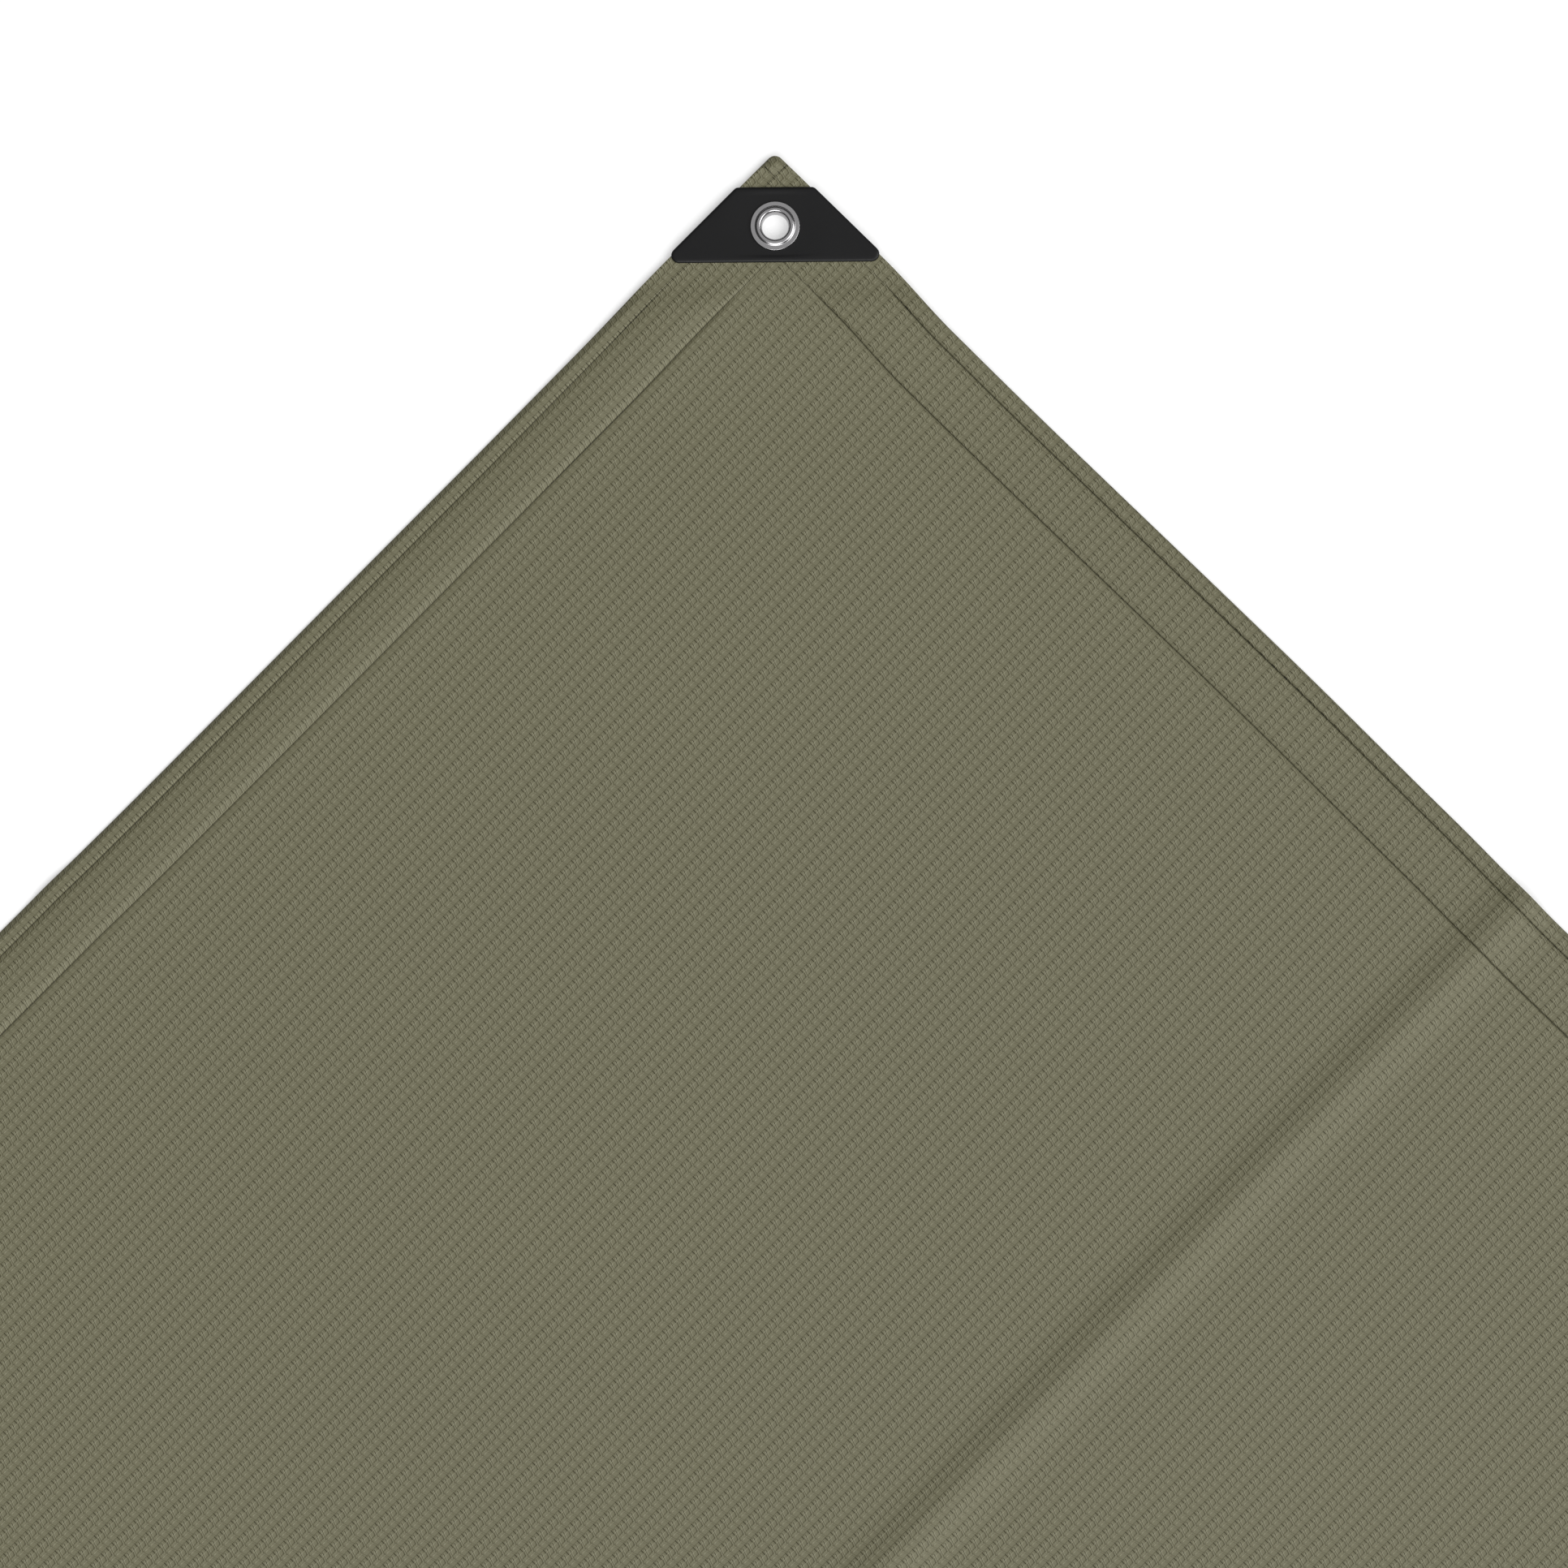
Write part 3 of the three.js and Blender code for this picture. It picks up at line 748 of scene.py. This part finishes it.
def eyelet_section(settings):
    bead = settings.bead_height / MM
    return [
        (THROAT_RADIUS + 0.15, 0.02),
        (THROAT_RADIUS + 0.4, 0),
        (BARREL_RADIUS + 0.4, 0.12),
        (BARREL_RADIUS + 0.3, 0.4),
        (BARREL_RADIUS, WASHER_THICK),
        (BARREL_RADIUS, FLANGE_BOTTOM),
        (FLANGE_RADIUS - 0.12, FLANGE_BOTTOM),
        (FLANGE_RADIUS, FLANGE_BOTTOM + 0.12),
        (FLANGE_RADIUS, FLANGE_TOP - 0.14),
        (FLANGE_RADIUS - 0.05, FLANGE_TOP - 0.05),
        (FLANGE_RADIUS - 0.14, FLANGE_TOP),
        (FLANGE_RADIUS - 0.3, FLANGE_TOP),
        (FLANGE_RADIUS - 1.7, FLANGE_TOP),
        *[(row["radius"], FLANGE_TOP + bead * row["rise"]) for row in BEAD_SECTION],
        (THROAT_RADIUS, FLANGE_TOP - THROAT_DROP),
        (THROAT_RADIUS, WASHER_THICK + 0.5),
        (THROAT_RADIUS + 0.03, 0.3),
    ]


def washer_section():
    inner = BARREL_RADIUS + 0.4 + WASHER_CLEARANCE
    return [
        (inner, 0.12),
        (inner + 0.12, 0),
        (FLANGE_RADIUS - 0.15, 0),
        (FLANGE_RADIUS, 0.15),
        (FLANGE_RADIUS, WASHER_THICK - 0.25),
        (FLANGE_RADIUS - 0.22, WASHER_THICK - 0.04),
        (FLANGE_RADIUS - 0.5, WASHER_THICK),
        (inner - 0.3, WASHER_THICK),
    ]


# Geometry Nodes


class Wires:
    """Adds nodes to a tree and joins them, so that a tree reads as formulas."""

    def __init__(self, tree):
        self.tree = tree

    def node(self, kind, values=(), **settings):
        """A new node. values goes by socket index or name, and a socket there is linked."""
        node = self.tree.nodes.new(kind)
        for name, value in settings.items():
            setattr(node, name, value)
        for key, value in dict(values).items():
            if isinstance(value, bpy.types.NodeSocket):
                self.tree.links.new(value, node.inputs[key])
            else:
                node.inputs[key].default_value = value
        return node

    def math(self, operation, *values):
        node = self.node("ShaderNodeMath", enumerate(values), operation=operation)
        return node.outputs[0]

    def link(self, source, target):
        self.tree.links.new(source, target)


def add_socket(tree, name, kind, way="INPUT", default=None):
    socket = tree.interface.new_socket(name, in_out=way, socket_type=kind)
    if default is not None:
        socket.default_value = default
    return socket


def set_input(modifier, name, value):
    """Sets a Geometry Nodes input by the identifier of the socket that has that name."""
    for item in modifier.node_group.interface.items_tree:
        if item.item_type == "SOCKET" and item.in_out == "INPUT" and item.name == name:
            modifier[item.identifier] = value
            return
    raise KeyError(name)


def corner_copies_tree():
    """Sets one corner's fitting at all four corners, each turned to face the middle."""
    tree = bpy.data.node_groups.new("corner copies", "GeometryNodeTree")
    tree.is_modifier = True
    add_socket(tree, "Geometry", "NodeSocketGeometry")
    add_socket(tree, "Half Side", "NodeSocketFloat", default=HALF * MM)
    add_socket(tree, "Material", "NodeSocketMaterial")
    add_socket(tree, "Geometry", "NodeSocketGeometry", "OUTPUT")
    wires = Wires(tree)
    group_in = wires.node("NodeGroupInput")
    half = group_in.outputs["Half Side"]
    ring = wires.node("GeometryNodeMeshCircle", {"Vertices": CORNER_TURNS, "Radius": 1.0})
    index = wires.node("GeometryNodeInputIndex").outputs[0]
    eighth, quarter = math.pi / 4, math.pi / 2
    place = wires.math("MULTIPLY_ADD", index, quarter, eighth)
    reach = wires.math("MULTIPLY", half, math.sqrt(2))
    x = wires.math("MULTIPLY", wires.math("COSINE", place), reach)
    y = wires.math("MULTIPLY", wires.math("SINE", place), reach)
    at = wires.node("ShaderNodeCombineXYZ", {0: x, 1: y}).outputs[0]
    placed = wires.node("GeometryNodeSetPosition", {"Geometry": ring.outputs[0], "Position": at})
    turn = wires.math("ADD", place, math.pi)
    rotation = wires.node("ShaderNodeCombineXYZ", {2: turn}).outputs[0]
    copies = wires.node("GeometryNodeInstanceOnPoints", {
        "Points": placed.outputs[0], "Instance": group_in.outputs[0], "Rotation": rotation})
    real = wires.node("GeometryNodeRealizeInstances", {0: copies.outputs[0]})
    finish = wires.node("GeometryNodeSetMaterial", {
        "Geometry": real.outputs[0], "Material": group_in.outputs["Material"]})
    group_out = wires.node("NodeGroupOutput")
    wires.link(finish.outputs[0], group_out.inputs[0])
    return tree


def turned_ring_tree():
    """Turns a closed section round an upright axis that stands a distance in from the tip."""
    tree = bpy.data.node_groups.new("turned ring", "GeometryNodeTree")
    tree.is_modifier = True
    add_socket(tree, "Section", "NodeSocketGeometry")
    add_socket(tree, "Steps", "NodeSocketInt", default=96)
    add_socket(tree, "Axis At", "NodeSocketFloat", default=EYELET_AT * MM)
    add_socket(tree, "Ring", "NodeSocketGeometry", "OUTPUT")
    wires = Wires(tree)
    group_in = wires.node("NodeGroupInput")
    section = wires.node("GeometryNodeMeshToCurve", {0: group_in.outputs["Section"]})
    path_radius = 0.01
    path = wires.node("GeometryNodeCurvePrimitiveCircle", {
        "Resolution": group_in.outputs["Steps"], "Radius": path_radius})
    # The section's own X is counted from the path, so it is drawn in by the path's radius
    drawn_in = wires.node("GeometryNodeTransform", {
        "Geometry": section.outputs[0], "Translation": (-path_radius, 0, 0)})
    swept = wires.node("GeometryNodeCurveToMesh", {
        "Curve": path.outputs[0], "Profile Curve": drawn_in.outputs[0]})
    at = wires.node("ShaderNodeCombineXYZ", {0: group_in.outputs["Axis At"]}).outputs[0]
    moved = wires.node("GeometryNodeTransform", {
        "Geometry": swept.outputs[0], "Translation": at})
    smooth = wires.node("GeometryNodeSetShadeSmooth", {0: moved.outputs[0]})
    group_out = wires.node("NodeGroupOutput")
    wires.link(smooth.outputs[0], group_out.inputs[0])
    return tree


def turned(name, section, steps):
    """One ring at a corner, from a closed section of radii and heights."""
    count = len(section)
    # The sweep turns the section's Y to face down
    points = [(radius, -height, 0) for radius, height in section]
    mesh = bpy.data.meshes.new(name)
    edges = [(i, (i + 1) % count) for i in range(count)]
    mesh.from_pydata([tuple(c * MM for c in point) for point in points], edges, [])
    ring = add_object(name, mesh)
    modifier = ring.modifiers.new("turned ring", "NODES")
    modifier.node_group = turned_ring_tree()
    set_input(modifier, "Steps", steps)
    baked(ring)
    point_outwards(ring.data)
    return ring


def point_outwards(mesh):
    shape = bmesh.new()
    shape.from_mesh(mesh)
    bmesh.ops.remove_doubles(shape, verts=shape.verts, dist=1e-7)
    bmesh.ops.recalc_face_normals(shape, faces=shape.faces)
    shape.to_mesh(mesh)
    shape.free()


def at_all_corners(piece, material):
    modifier = piece.modifiers.new("corner copies", "NODES")
    modifier.node_group = corner_copies_tree()
    set_input(modifier, "Half Side", HALF * MM)
    set_input(modifier, "Material", material)
    baked(piece)
    return piece


def finish_piece(piece, name, nodes):
    piece.name = name
    piece.data.name = name
    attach(piece, "root")
    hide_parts(*nodes)


def corner_nodes(stem):
    return [f"{stem}_{number}" for number in range(1, CORNER_TURNS + 1)]


# Shader node groups


def weave_mark_group():
    """One slanted soft-edged patch of the repeat, as a mask."""
    tree = bpy.data.node_groups.new("weave mark", "ShaderNodeTree")
    for name in ("Along", "Across", "Centre Along", "Centre Across", "Half Along",
                 "Half Across", "Slant", "Soft Along", "Soft Across"):
        add_socket(tree, name, "NodeSocketFloat")
    add_socket(tree, "Mask", "NodeSocketFloat", "OUTPUT")
    wires = Wires(tree)
    group_in = wires.node("NodeGroupInput").outputs

    def side(distance, half, soft):
        low = wires.math("SUBTRACT", half, soft)
        high = wires.math("ADD", half, soft)
        node = wires.node("ShaderNodeMapRange", {
            "Value": wires.math("ABSOLUTE", distance), "From Min": low, "From Max": high,
            "To Min": 1.0, "To Max": 0.0}, interpolation_type="SMOOTHSTEP")
        return node.outputs[0]

    across = wires.math("WRAP", wires.math("SUBTRACT", group_in["Across"],
                                           group_in["Centre Across"]), 0.5, -0.5)
    centre = wires.math("MULTIPLY_ADD", across, group_in["Slant"], group_in["Centre Along"])
    along = wires.math("WRAP", wires.math("SUBTRACT", group_in["Along"], centre), 0.5, -0.5)
    mask = wires.math("MULTIPLY", side(along, group_in["Half Along"], group_in["Soft Along"]),
                      side(across, group_in["Half Across"], group_in["Soft Across"]))
    wires.link(mask, wires.node("NodeGroupOutput").inputs[0])
    return tree


def weave_group():
    """The woven tapes: Tone is how much lighter or darker they are painted, as painted shade and
    highlights, Height is in metres.
    """
    tree = bpy.data.node_groups.new("woven tapes", "ShaderNodeTree")
    add_socket(tree, "Flat", "NodeSocketVector")
    add_socket(tree, "Tape Pitch", "NodeSocketFloat", default=0.003685)
    add_socket(tree, "Row Pitch", "NodeSocketFloat", default=0.0083)
    add_socket(tree, "Tone", "NodeSocketFloat", "OUTPUT")
    add_socket(tree, "Height", "NodeSocketFloat", "OUTPUT")
    wires = Wires(tree)
    group_in = wires.node("NodeGroupInput").outputs
    flat = wires.node("ShaderNodeSeparateXYZ", {0: group_in["Flat"]}).outputs
    drift = wires.node("ShaderNodeTexNoise", {
        "Vector": group_in["Flat"], "Scale": WANDER_SCALE, "Detail": 1.0}).outputs["Fac"]
    wander = wires.math("MULTIPLY_ADD", drift, WANDER, -WANDER / 2)
    along = wires.math("ADD", wires.math("DIVIDE", flat[0], group_in["Tape Pitch"]), wander)
    across = wires.math("DIVIDE", flat[1], group_in["Row Pitch"])
    mark_tree = weave_mark_group()
    tone, height = 0.0, 0.0
    for mark in WEAVE_MARKS:
        group = wires.node("ShaderNodeGroup", node_tree=mark_tree)
        wires.link(along, group.inputs["Along"])
        wires.link(across, group.inputs["Across"])
        values = (*mark["at"], *mark["half"], mark["slant"], *mark["soft"])
        for socket, value in zip(list(group.inputs)[2:], values):
            socket.default_value = value
        mask = group.outputs["Mask"]
        if mark["tone"]:
            tone = wires.math("MULTIPLY_ADD", mask, mark["tone"], tone)
        if mark["rise"]:
            height = wires.math("MULTIPLY_ADD", mask, mark["rise"] * MM, height)
    group_out = wires.node("NodeGroupOutput")
    wires.link(tone, group_out.inputs["Tone"])
    wires.link(height, group_out.inputs["Height"])
    return tree


def handling_group():
    """Uneven tone left by handling and dust: Light goes a little over and under 1."""
    tree = bpy.data.node_groups.new("handling", "ShaderNodeTree")
    add_socket(tree, "Place", "NodeSocketVector")
    add_socket(tree, "Broad Scale", "NodeSocketFloat", default=4.0)
    add_socket(tree, "Fine Scale", "NodeSocketFloat", default=300.0)
    add_socket(tree, "Amount", "NodeSocketFloat", default=0.05)
    add_socket(tree, "Light", "NodeSocketFloat", "OUTPUT")
    wires = Wires(tree)
    group_in = wires.node("NodeGroupInput").outputs
    broad = wires.node("ShaderNodeTexNoise", {
        "Vector": group_in["Place"], "Scale": group_in["Broad Scale"], "Detail": 3.0})
    fine = wires.node("ShaderNodeTexNoise", {
        "Vector": group_in["Place"], "Scale": group_in["Fine Scale"], "Detail": 2.0})
    both = wires.math("ADD", broad.outputs["Fac"], fine.outputs["Fac"])
    centred = wires.math("SUBTRACT", both, 1.0)
    light = wires.math("MULTIPLY_ADD", centred, group_in["Amount"], 1.0)
    wires.link(light, wires.node("NodeGroupOutput").inputs[0])
    return tree


def shared_group(name, make):
    return bpy.data.node_groups.get(name) or make()


def new_material(name):
    material = bpy.data.materials.new(name)
    material.use_nodes = True
    material.node_tree.nodes.clear()
    wires = Wires(material.node_tree)
    shader = wires.node("ShaderNodeBsdfPrincipled")
    output = wires.node("ShaderNodeOutputMaterial")
    wires.link(shader.outputs[0], output.inputs["Surface"])
    return material, wires, shader


def handling_light(wires, place, broad, fine, amount):
    group = wires.node("ShaderNodeGroup", node_tree=shared_group("handling", handling_group))
    wires.link(place, group.inputs["Place"])
    group.inputs["Broad Scale"].default_value = broad
    group.inputs["Fine Scale"].default_value = fine
    group.inputs["Amount"].default_value = amount
    return group.outputs["Light"]


def scaled_colour(wires, colour, factor):
    node = wires.node("ShaderNodeVectorMath", {0: colour, "Scale": factor}, operation="SCALE")
    return node.outputs[0]


# How much painted shade darkens the cloth in the grooves of the hem lines, and how much fainter its weave
# is beside them
SEAM_PAINTED_SHADE = 0.8
CALM_SHARE = 0.4
# Powers that turn the tone as it is seen into red, green and blue: shade deepens the olive
TONE_POWERS = (2.2, 2.3, 3)
# Heights of the sleeve's grain and the metal's scratches, in metres
GRAIN_HEIGHT = 0.00002
SCRATCH_HEIGHT = 0.000003


def cloth_material(cloth, weave):
    material, wires, shader = new_material("woven_olive_cloth")
    flat = wires.node("ShaderNodeUVMap", uv_map="Flat").outputs[0]
    seam_shade = wires.node("ShaderNodeAttribute", attribute_name="seam_shade").outputs["Fac"]
    calm = wires.node("ShaderNodeAttribute", attribute_name="calm").outputs["Fac"]
    group = wires.node("ShaderNodeGroup", node_tree=shared_group("woven tapes", weave_group))
    wires.link(flat, group.inputs["Flat"])
    group.inputs["Tape Pitch"].default_value = weave.tape_pitch
    group.inputs["Row Pitch"].default_value = weave.row_pitch
    strength = wires.math("MULTIPLY_ADD", calm, -CALM_SHARE, 1.0)
    # The weave's tone, its painted shade and highlights, goes into the colour
    tone = wires.math("MULTIPLY", group.outputs["Tone"], weave.contrast)
    tone = wires.math("MULTIPLY_ADD", tone, strength, 1.0)
    # Painted shade in the pressed grooves of the hem lines
    tone = wires.math("MULTIPLY_ADD", seam_shade, -SEAM_PAINTED_SHADE, tone)
    tone = wires.math("MAXIMUM", tone, 0.05)
    channels = [wires.math("POWER", tone, power) for power in TONE_POWERS]
    shade = wires.node("ShaderNodeCombineXYZ", enumerate(channels)).outputs[0]
    tinted = wires.node("ShaderNodeVectorMath", {0: shade, 1: (*cloth.colour,)},
                        operation="MULTIPLY").outputs[0]
    light = handling_light(wires, flat, 5.0, 420.0, 0.07)
    colour = scaled_colour(wires, tinted, light)
    wires.link(colour, shader.inputs["Base Color"])
    height = wires.math("MULTIPLY", group.outputs["Height"], weave.relief)
    height = wires.math("MULTIPLY", height, strength)
    bump = wires.node("ShaderNodeBump", {"Height": height, "Distance": 1.0})
    wires.link(bump.outputs[0], shader.inputs["Normal"])
    rough = wires.math("MULTIPLY_ADD", light, 0.3, cloth.roughness - 0.3)
    wires.link(rough, shader.inputs["Roughness"])
    shader.inputs["Specular IOR Level"].default_value = 0.35
    return material


def sleeve_material(settings):
    material, wires, shader = new_material("black_moulded_sleeve")
    place = wires.node("ShaderNodeTexCoord").outputs["Object"]
    light = handling_light(wires, place, 30.0, 900.0, 0.25)
    wires.link(scaled_colour(wires, (*settings.colour,), light), shader.inputs["Base Color"])
    rough = wires.math("MULTIPLY_ADD", light, 0.12, settings.roughness - 0.12)
    wires.link(rough, shader.inputs["Roughness"])
    shader.inputs["Specular IOR Level"].default_value = 0.18
    grain = wires.node("ShaderNodeTexNoise", {
        "Vector": place, "Scale": 2600.0, "Detail": 2.0}).outputs["Fac"]
    bump = wires.node("ShaderNodeBump", {
        "Height": wires.math("MULTIPLY", grain, GRAIN_HEIGHT), "Distance": 1.0})
    wires.link(bump.outputs[0], shader.inputs["Normal"])
    return material


def metal_material(settings):
    material, wires, shader = new_material("pressed_eyelet_metal")
    place = wires.node("ShaderNodeTexCoord").outputs["Object"]
    light = handling_light(wires, place, 60.0, 1500.0, 0.08)
    wires.link(scaled_colour(wires, (*settings.colour,), light), shader.inputs["Base Color"])
    rough = wires.math("MULTIPLY_ADD", light, 0.1, settings.roughness - 0.1)
    wires.link(rough, shader.inputs["Roughness"])
    shader.inputs["Metallic"].default_value = 1.0
    scratches = wires.node("ShaderNodeTexNoise", {
        "Vector": place, "Scale": 1400.0, "Detail": 3.0}).outputs["Fac"]
    bump = wires.node("ShaderNodeBump", {
        "Height": wires.math("MULTIPLY", scratches, SCRATCH_HEIGHT), "Distance": 1.0})
    wires.link(bump.outputs[0], shader.inputs["Normal"])
    return material


# Operators


class TARP_OT_cloth(bpy.types.Operator):
    """Build the woven sheet with its hems, creases and eyelet holes"""

    bl_idname = "tarp.cloth"
    bl_label = "Cloth"

    def execute(self, context):
        cloth, weave = context.scene.tarp_cloth, context.scene.tarp_weave
        sheet = add_object("tarp_sheet", build_cloth(cloth))
        for (x, y), turn in corner_places():
            centre = (x + EYELET_AT * math.cos(turn), y + EYELET_AT * math.sin(turn))
            hole = prism("eyelet_hole", circle(centre, THROUGH_RADIUS, 48), -20, 20)
            cut(sheet, hole, "eyelet_hole")
        sheet.data.materials.clear()
        sheet.data.materials.append(cloth_material(cloth, weave))
        finish_piece(sheet, "tarp_sheet",
                     ["tarp_cloth", *corner_nodes("cloth_corner")])
        return {"FINISHED"}


class TARP_OT_sleeves(bpy.types.Operator):
    """Build the moulded sleeves at the four corners"""

    bl_idname = "tarp.sleeves"
    bl_label = "Corner Sleeves"

    def execute(self, context):
        settings = context.scene.tarp_sleeve
        sleeve = build_sleeve(settings)
        sleeve.data.shade_smooth()
        sleeve.data.set_sharp_from_angle(angle=math.radians(35))
        at_all_corners(sleeve, sleeve_material(settings))
        finish_piece(sleeve, "corner_sleeves", corner_nodes("corner_sleeve"))
        return {"FINISHED"}


class TARP_OT_eyelets(bpy.types.Operator):
    """Turn the eyelets and the washers behind them at the four corners"""

    bl_idname = "tarp.eyelets"
    bl_label = "Eyelets"

    def execute(self, context):
        settings = context.scene.tarp_eyelet
        metal = metal_material(settings)
        for name, stem, section in (
            ("eyelets", "eyelet", eyelet_section(settings)),
            ("eyelet_washers", "eyelet_washer", washer_section()),
        ):
            ring = turned(name, section, settings.steps)
            ring.data.set_sharp_from_angle(angle=math.radians(50))
            at_all_corners(ring, metal)
            finish_piece(ring, name, corner_nodes(stem))
        return {"FINISHED"}


def aimed(location, target, up):
    """Turns an object's own -Z at the target with the given way up."""
    forward = (Vector(target) - Vector(location)).normalized()
    right = forward.cross(Vector(up)).normalized()
    true_up = right.cross(forward)
    return Matrix((right, true_up, -forward)).transposed().to_4x4()


class TARP_OT_stage(bpy.types.Operator):
    """Set the floor, the sky, two broad lights and the camera over the corner"""

    bl_idname = "tarp.stage"
    bl_label = "Stage"

    def execute(self, context):
        settings, scene = context.scene.tarp_stage, context.scene
        self.lay_floor(settings)
        self.light(settings, scene)
        self.hang_camera(scene)
        scene.view_settings.view_transform = "Standard"
        scene.view_settings.look = "None"
        return {"FINISHED"}

    def lay_floor(self, settings):
        half = settings.floor_size / 2
        mesh = bpy.data.meshes.new("floor")
        mesh.from_pydata([(-half, -half, 0), (half, -half, 0), (half, half, 0), (-half, half, 0)],
                         [], [(0, 1, 2, 3)])
        floor = add_object("floor", mesh)
        material, _, shader = new_material("pale_floor")
        shader.inputs["Base Color"].default_value = (*settings.floor_colour, 1)
        shader.inputs["Roughness"].default_value = 0.9
        shader.inputs["Specular IOR Level"].default_value = 0.1
        shader.inputs["Emission Color"].default_value = (1, 1, 1, 1)
        shader.inputs["Emission Strength"].default_value = settings.floor_glow
        mesh.materials.append(material)

    def light(self, settings, scene):
        level = math.cos(settings.light_elevation)
        height = math.sin(settings.light_elevation)
        for name, azimuth, spread, strength in (
            ("key_light", KEY_AZIMUTH, KEY_SPREAD, settings.key_strength),
            ("side_light", SIDE_AZIMUTH, SIDE_SPREAD, settings.side_strength),
        ):
            data = bpy.data.lights.new(name, "SUN")
            data.energy = strength
            data.angle = math.radians(spread)
            lamp = bpy.data.objects.new(name, data)
            scene.collection.objects.link(lamp)
            turn = math.radians(azimuth)
            place = Vector((math.cos(turn) * level, math.sin(turn) * level, height))
            lamp.matrix_world = Matrix.Translation(place * 3) @ aimed(place, (0, 0, 0), (0, 0, 1))
        world = bpy.data.worlds.new("studio_sky")
        scene.world = world
        world.use_nodes = True
        world.node_tree.nodes.clear()
        wires = Wires(world.node_tree)
        way = wires.node("ShaderNodeTexCoord").outputs["Generated"]
        up = wires.node("ShaderNodeSeparateXYZ", {0: way}).outputs[2]
        strength = wires.node("ShaderNodeMapRange", {
            "Value": up, "From Min": CEILING_FROM, "From Max": CEILING_TO,
            "To Min": settings.sky_horizon, "To Max": settings.sky_zenith},
            interpolation_type="SMOOTHSTEP").outputs[0]
        background = wires.node("ShaderNodeBackground", {"Strength": strength})
        background.inputs["Color"].default_value = (1, 1, 1, 1)
        output = wires.node("ShaderNodeOutputWorld")
        wires.link(background.outputs[0], output.inputs[0])

    def hang_camera(self, scene):
        data = bpy.data.cameras.new("camera")
        data.lens = LENS
        data.sensor_width = SENSOR
        data.clip_start = 0.01
        data.clip_end = 100
        camera = bpy.data.objects.new("camera", data)
        scene.collection.objects.link(camera)
        location, aim = Vector(CAMERA_AT) * MM, Vector(AIM) * MM
        up = (math.cos(PICTURE_UP), math.sin(PICTURE_UP), 0)
        camera.matrix_world = Matrix.Translation(location) @ aimed(location, aim, up)
        scene.camera = camera


class TARP_OT_declare(bpy.types.Operator):
    """Takes no step of its own and returns at once"""

    bl_idname = "tarp.declare"
    bl_label = "Declare Cloth"

    def execute(self, context):
        return {"FINISHED"}


OPERATORS = (TARP_OT_cloth, TARP_OT_sleeves, TARP_OT_eyelets, TARP_OT_declare, TARP_OT_stage)
SETTINGS = {
    "tarp_cloth": TarpClothSettings,
    "tarp_weave": TarpWeaveSettings,
    "tarp_sleeve": TarpSleeveSettings,
    "tarp_eyelet": TarpEyeletSettings,
    "tarp_stage": TarpStageSettings,
}


class TARP_PT_panel(bpy.types.Panel):
    """Lists the pieces of the tarp and their sizes and colours"""

    bl_idname = "TARP_PT_panel"
    bl_label = "Eyeleted Tarp"
    bl_space_type = "VIEW_3D"
    bl_region_type = "UI"
    bl_category = "Tarp"

    def draw(self, context):
        for operator in OPERATORS:
            self.layout.operator(operator.bl_idname)
        for name, group in SETTINGS.items():
            box = self.layout.box()
            for setting in group.__annotations__:
                box.prop(getattr(context.scene, name), setting)


CLASSES = (*SETTINGS.values(), *OPERATORS, TARP_PT_panel)


def register():
    for item in CLASSES:
        bpy.utils.register_class(item)
    for name, group in SETTINGS.items():
        setattr(bpy.types.Scene, name, PointerProperty(type=group))


def unregister():
    for name in SETTINGS:
        delattr(bpy.types.Scene, name)
    for item in reversed(CLASSES):
        bpy.utils.unregister_class(item)


def main():
    register()
    bpy.ops.tarp.stage()
    bpy.ops.tarp.cloth()
    bpy.ops.tarp.sleeves()
    bpy.ops.tarp.eyelets()
    bpy.ops.tarp.declare()


if __name__ == "__main__":
    main()
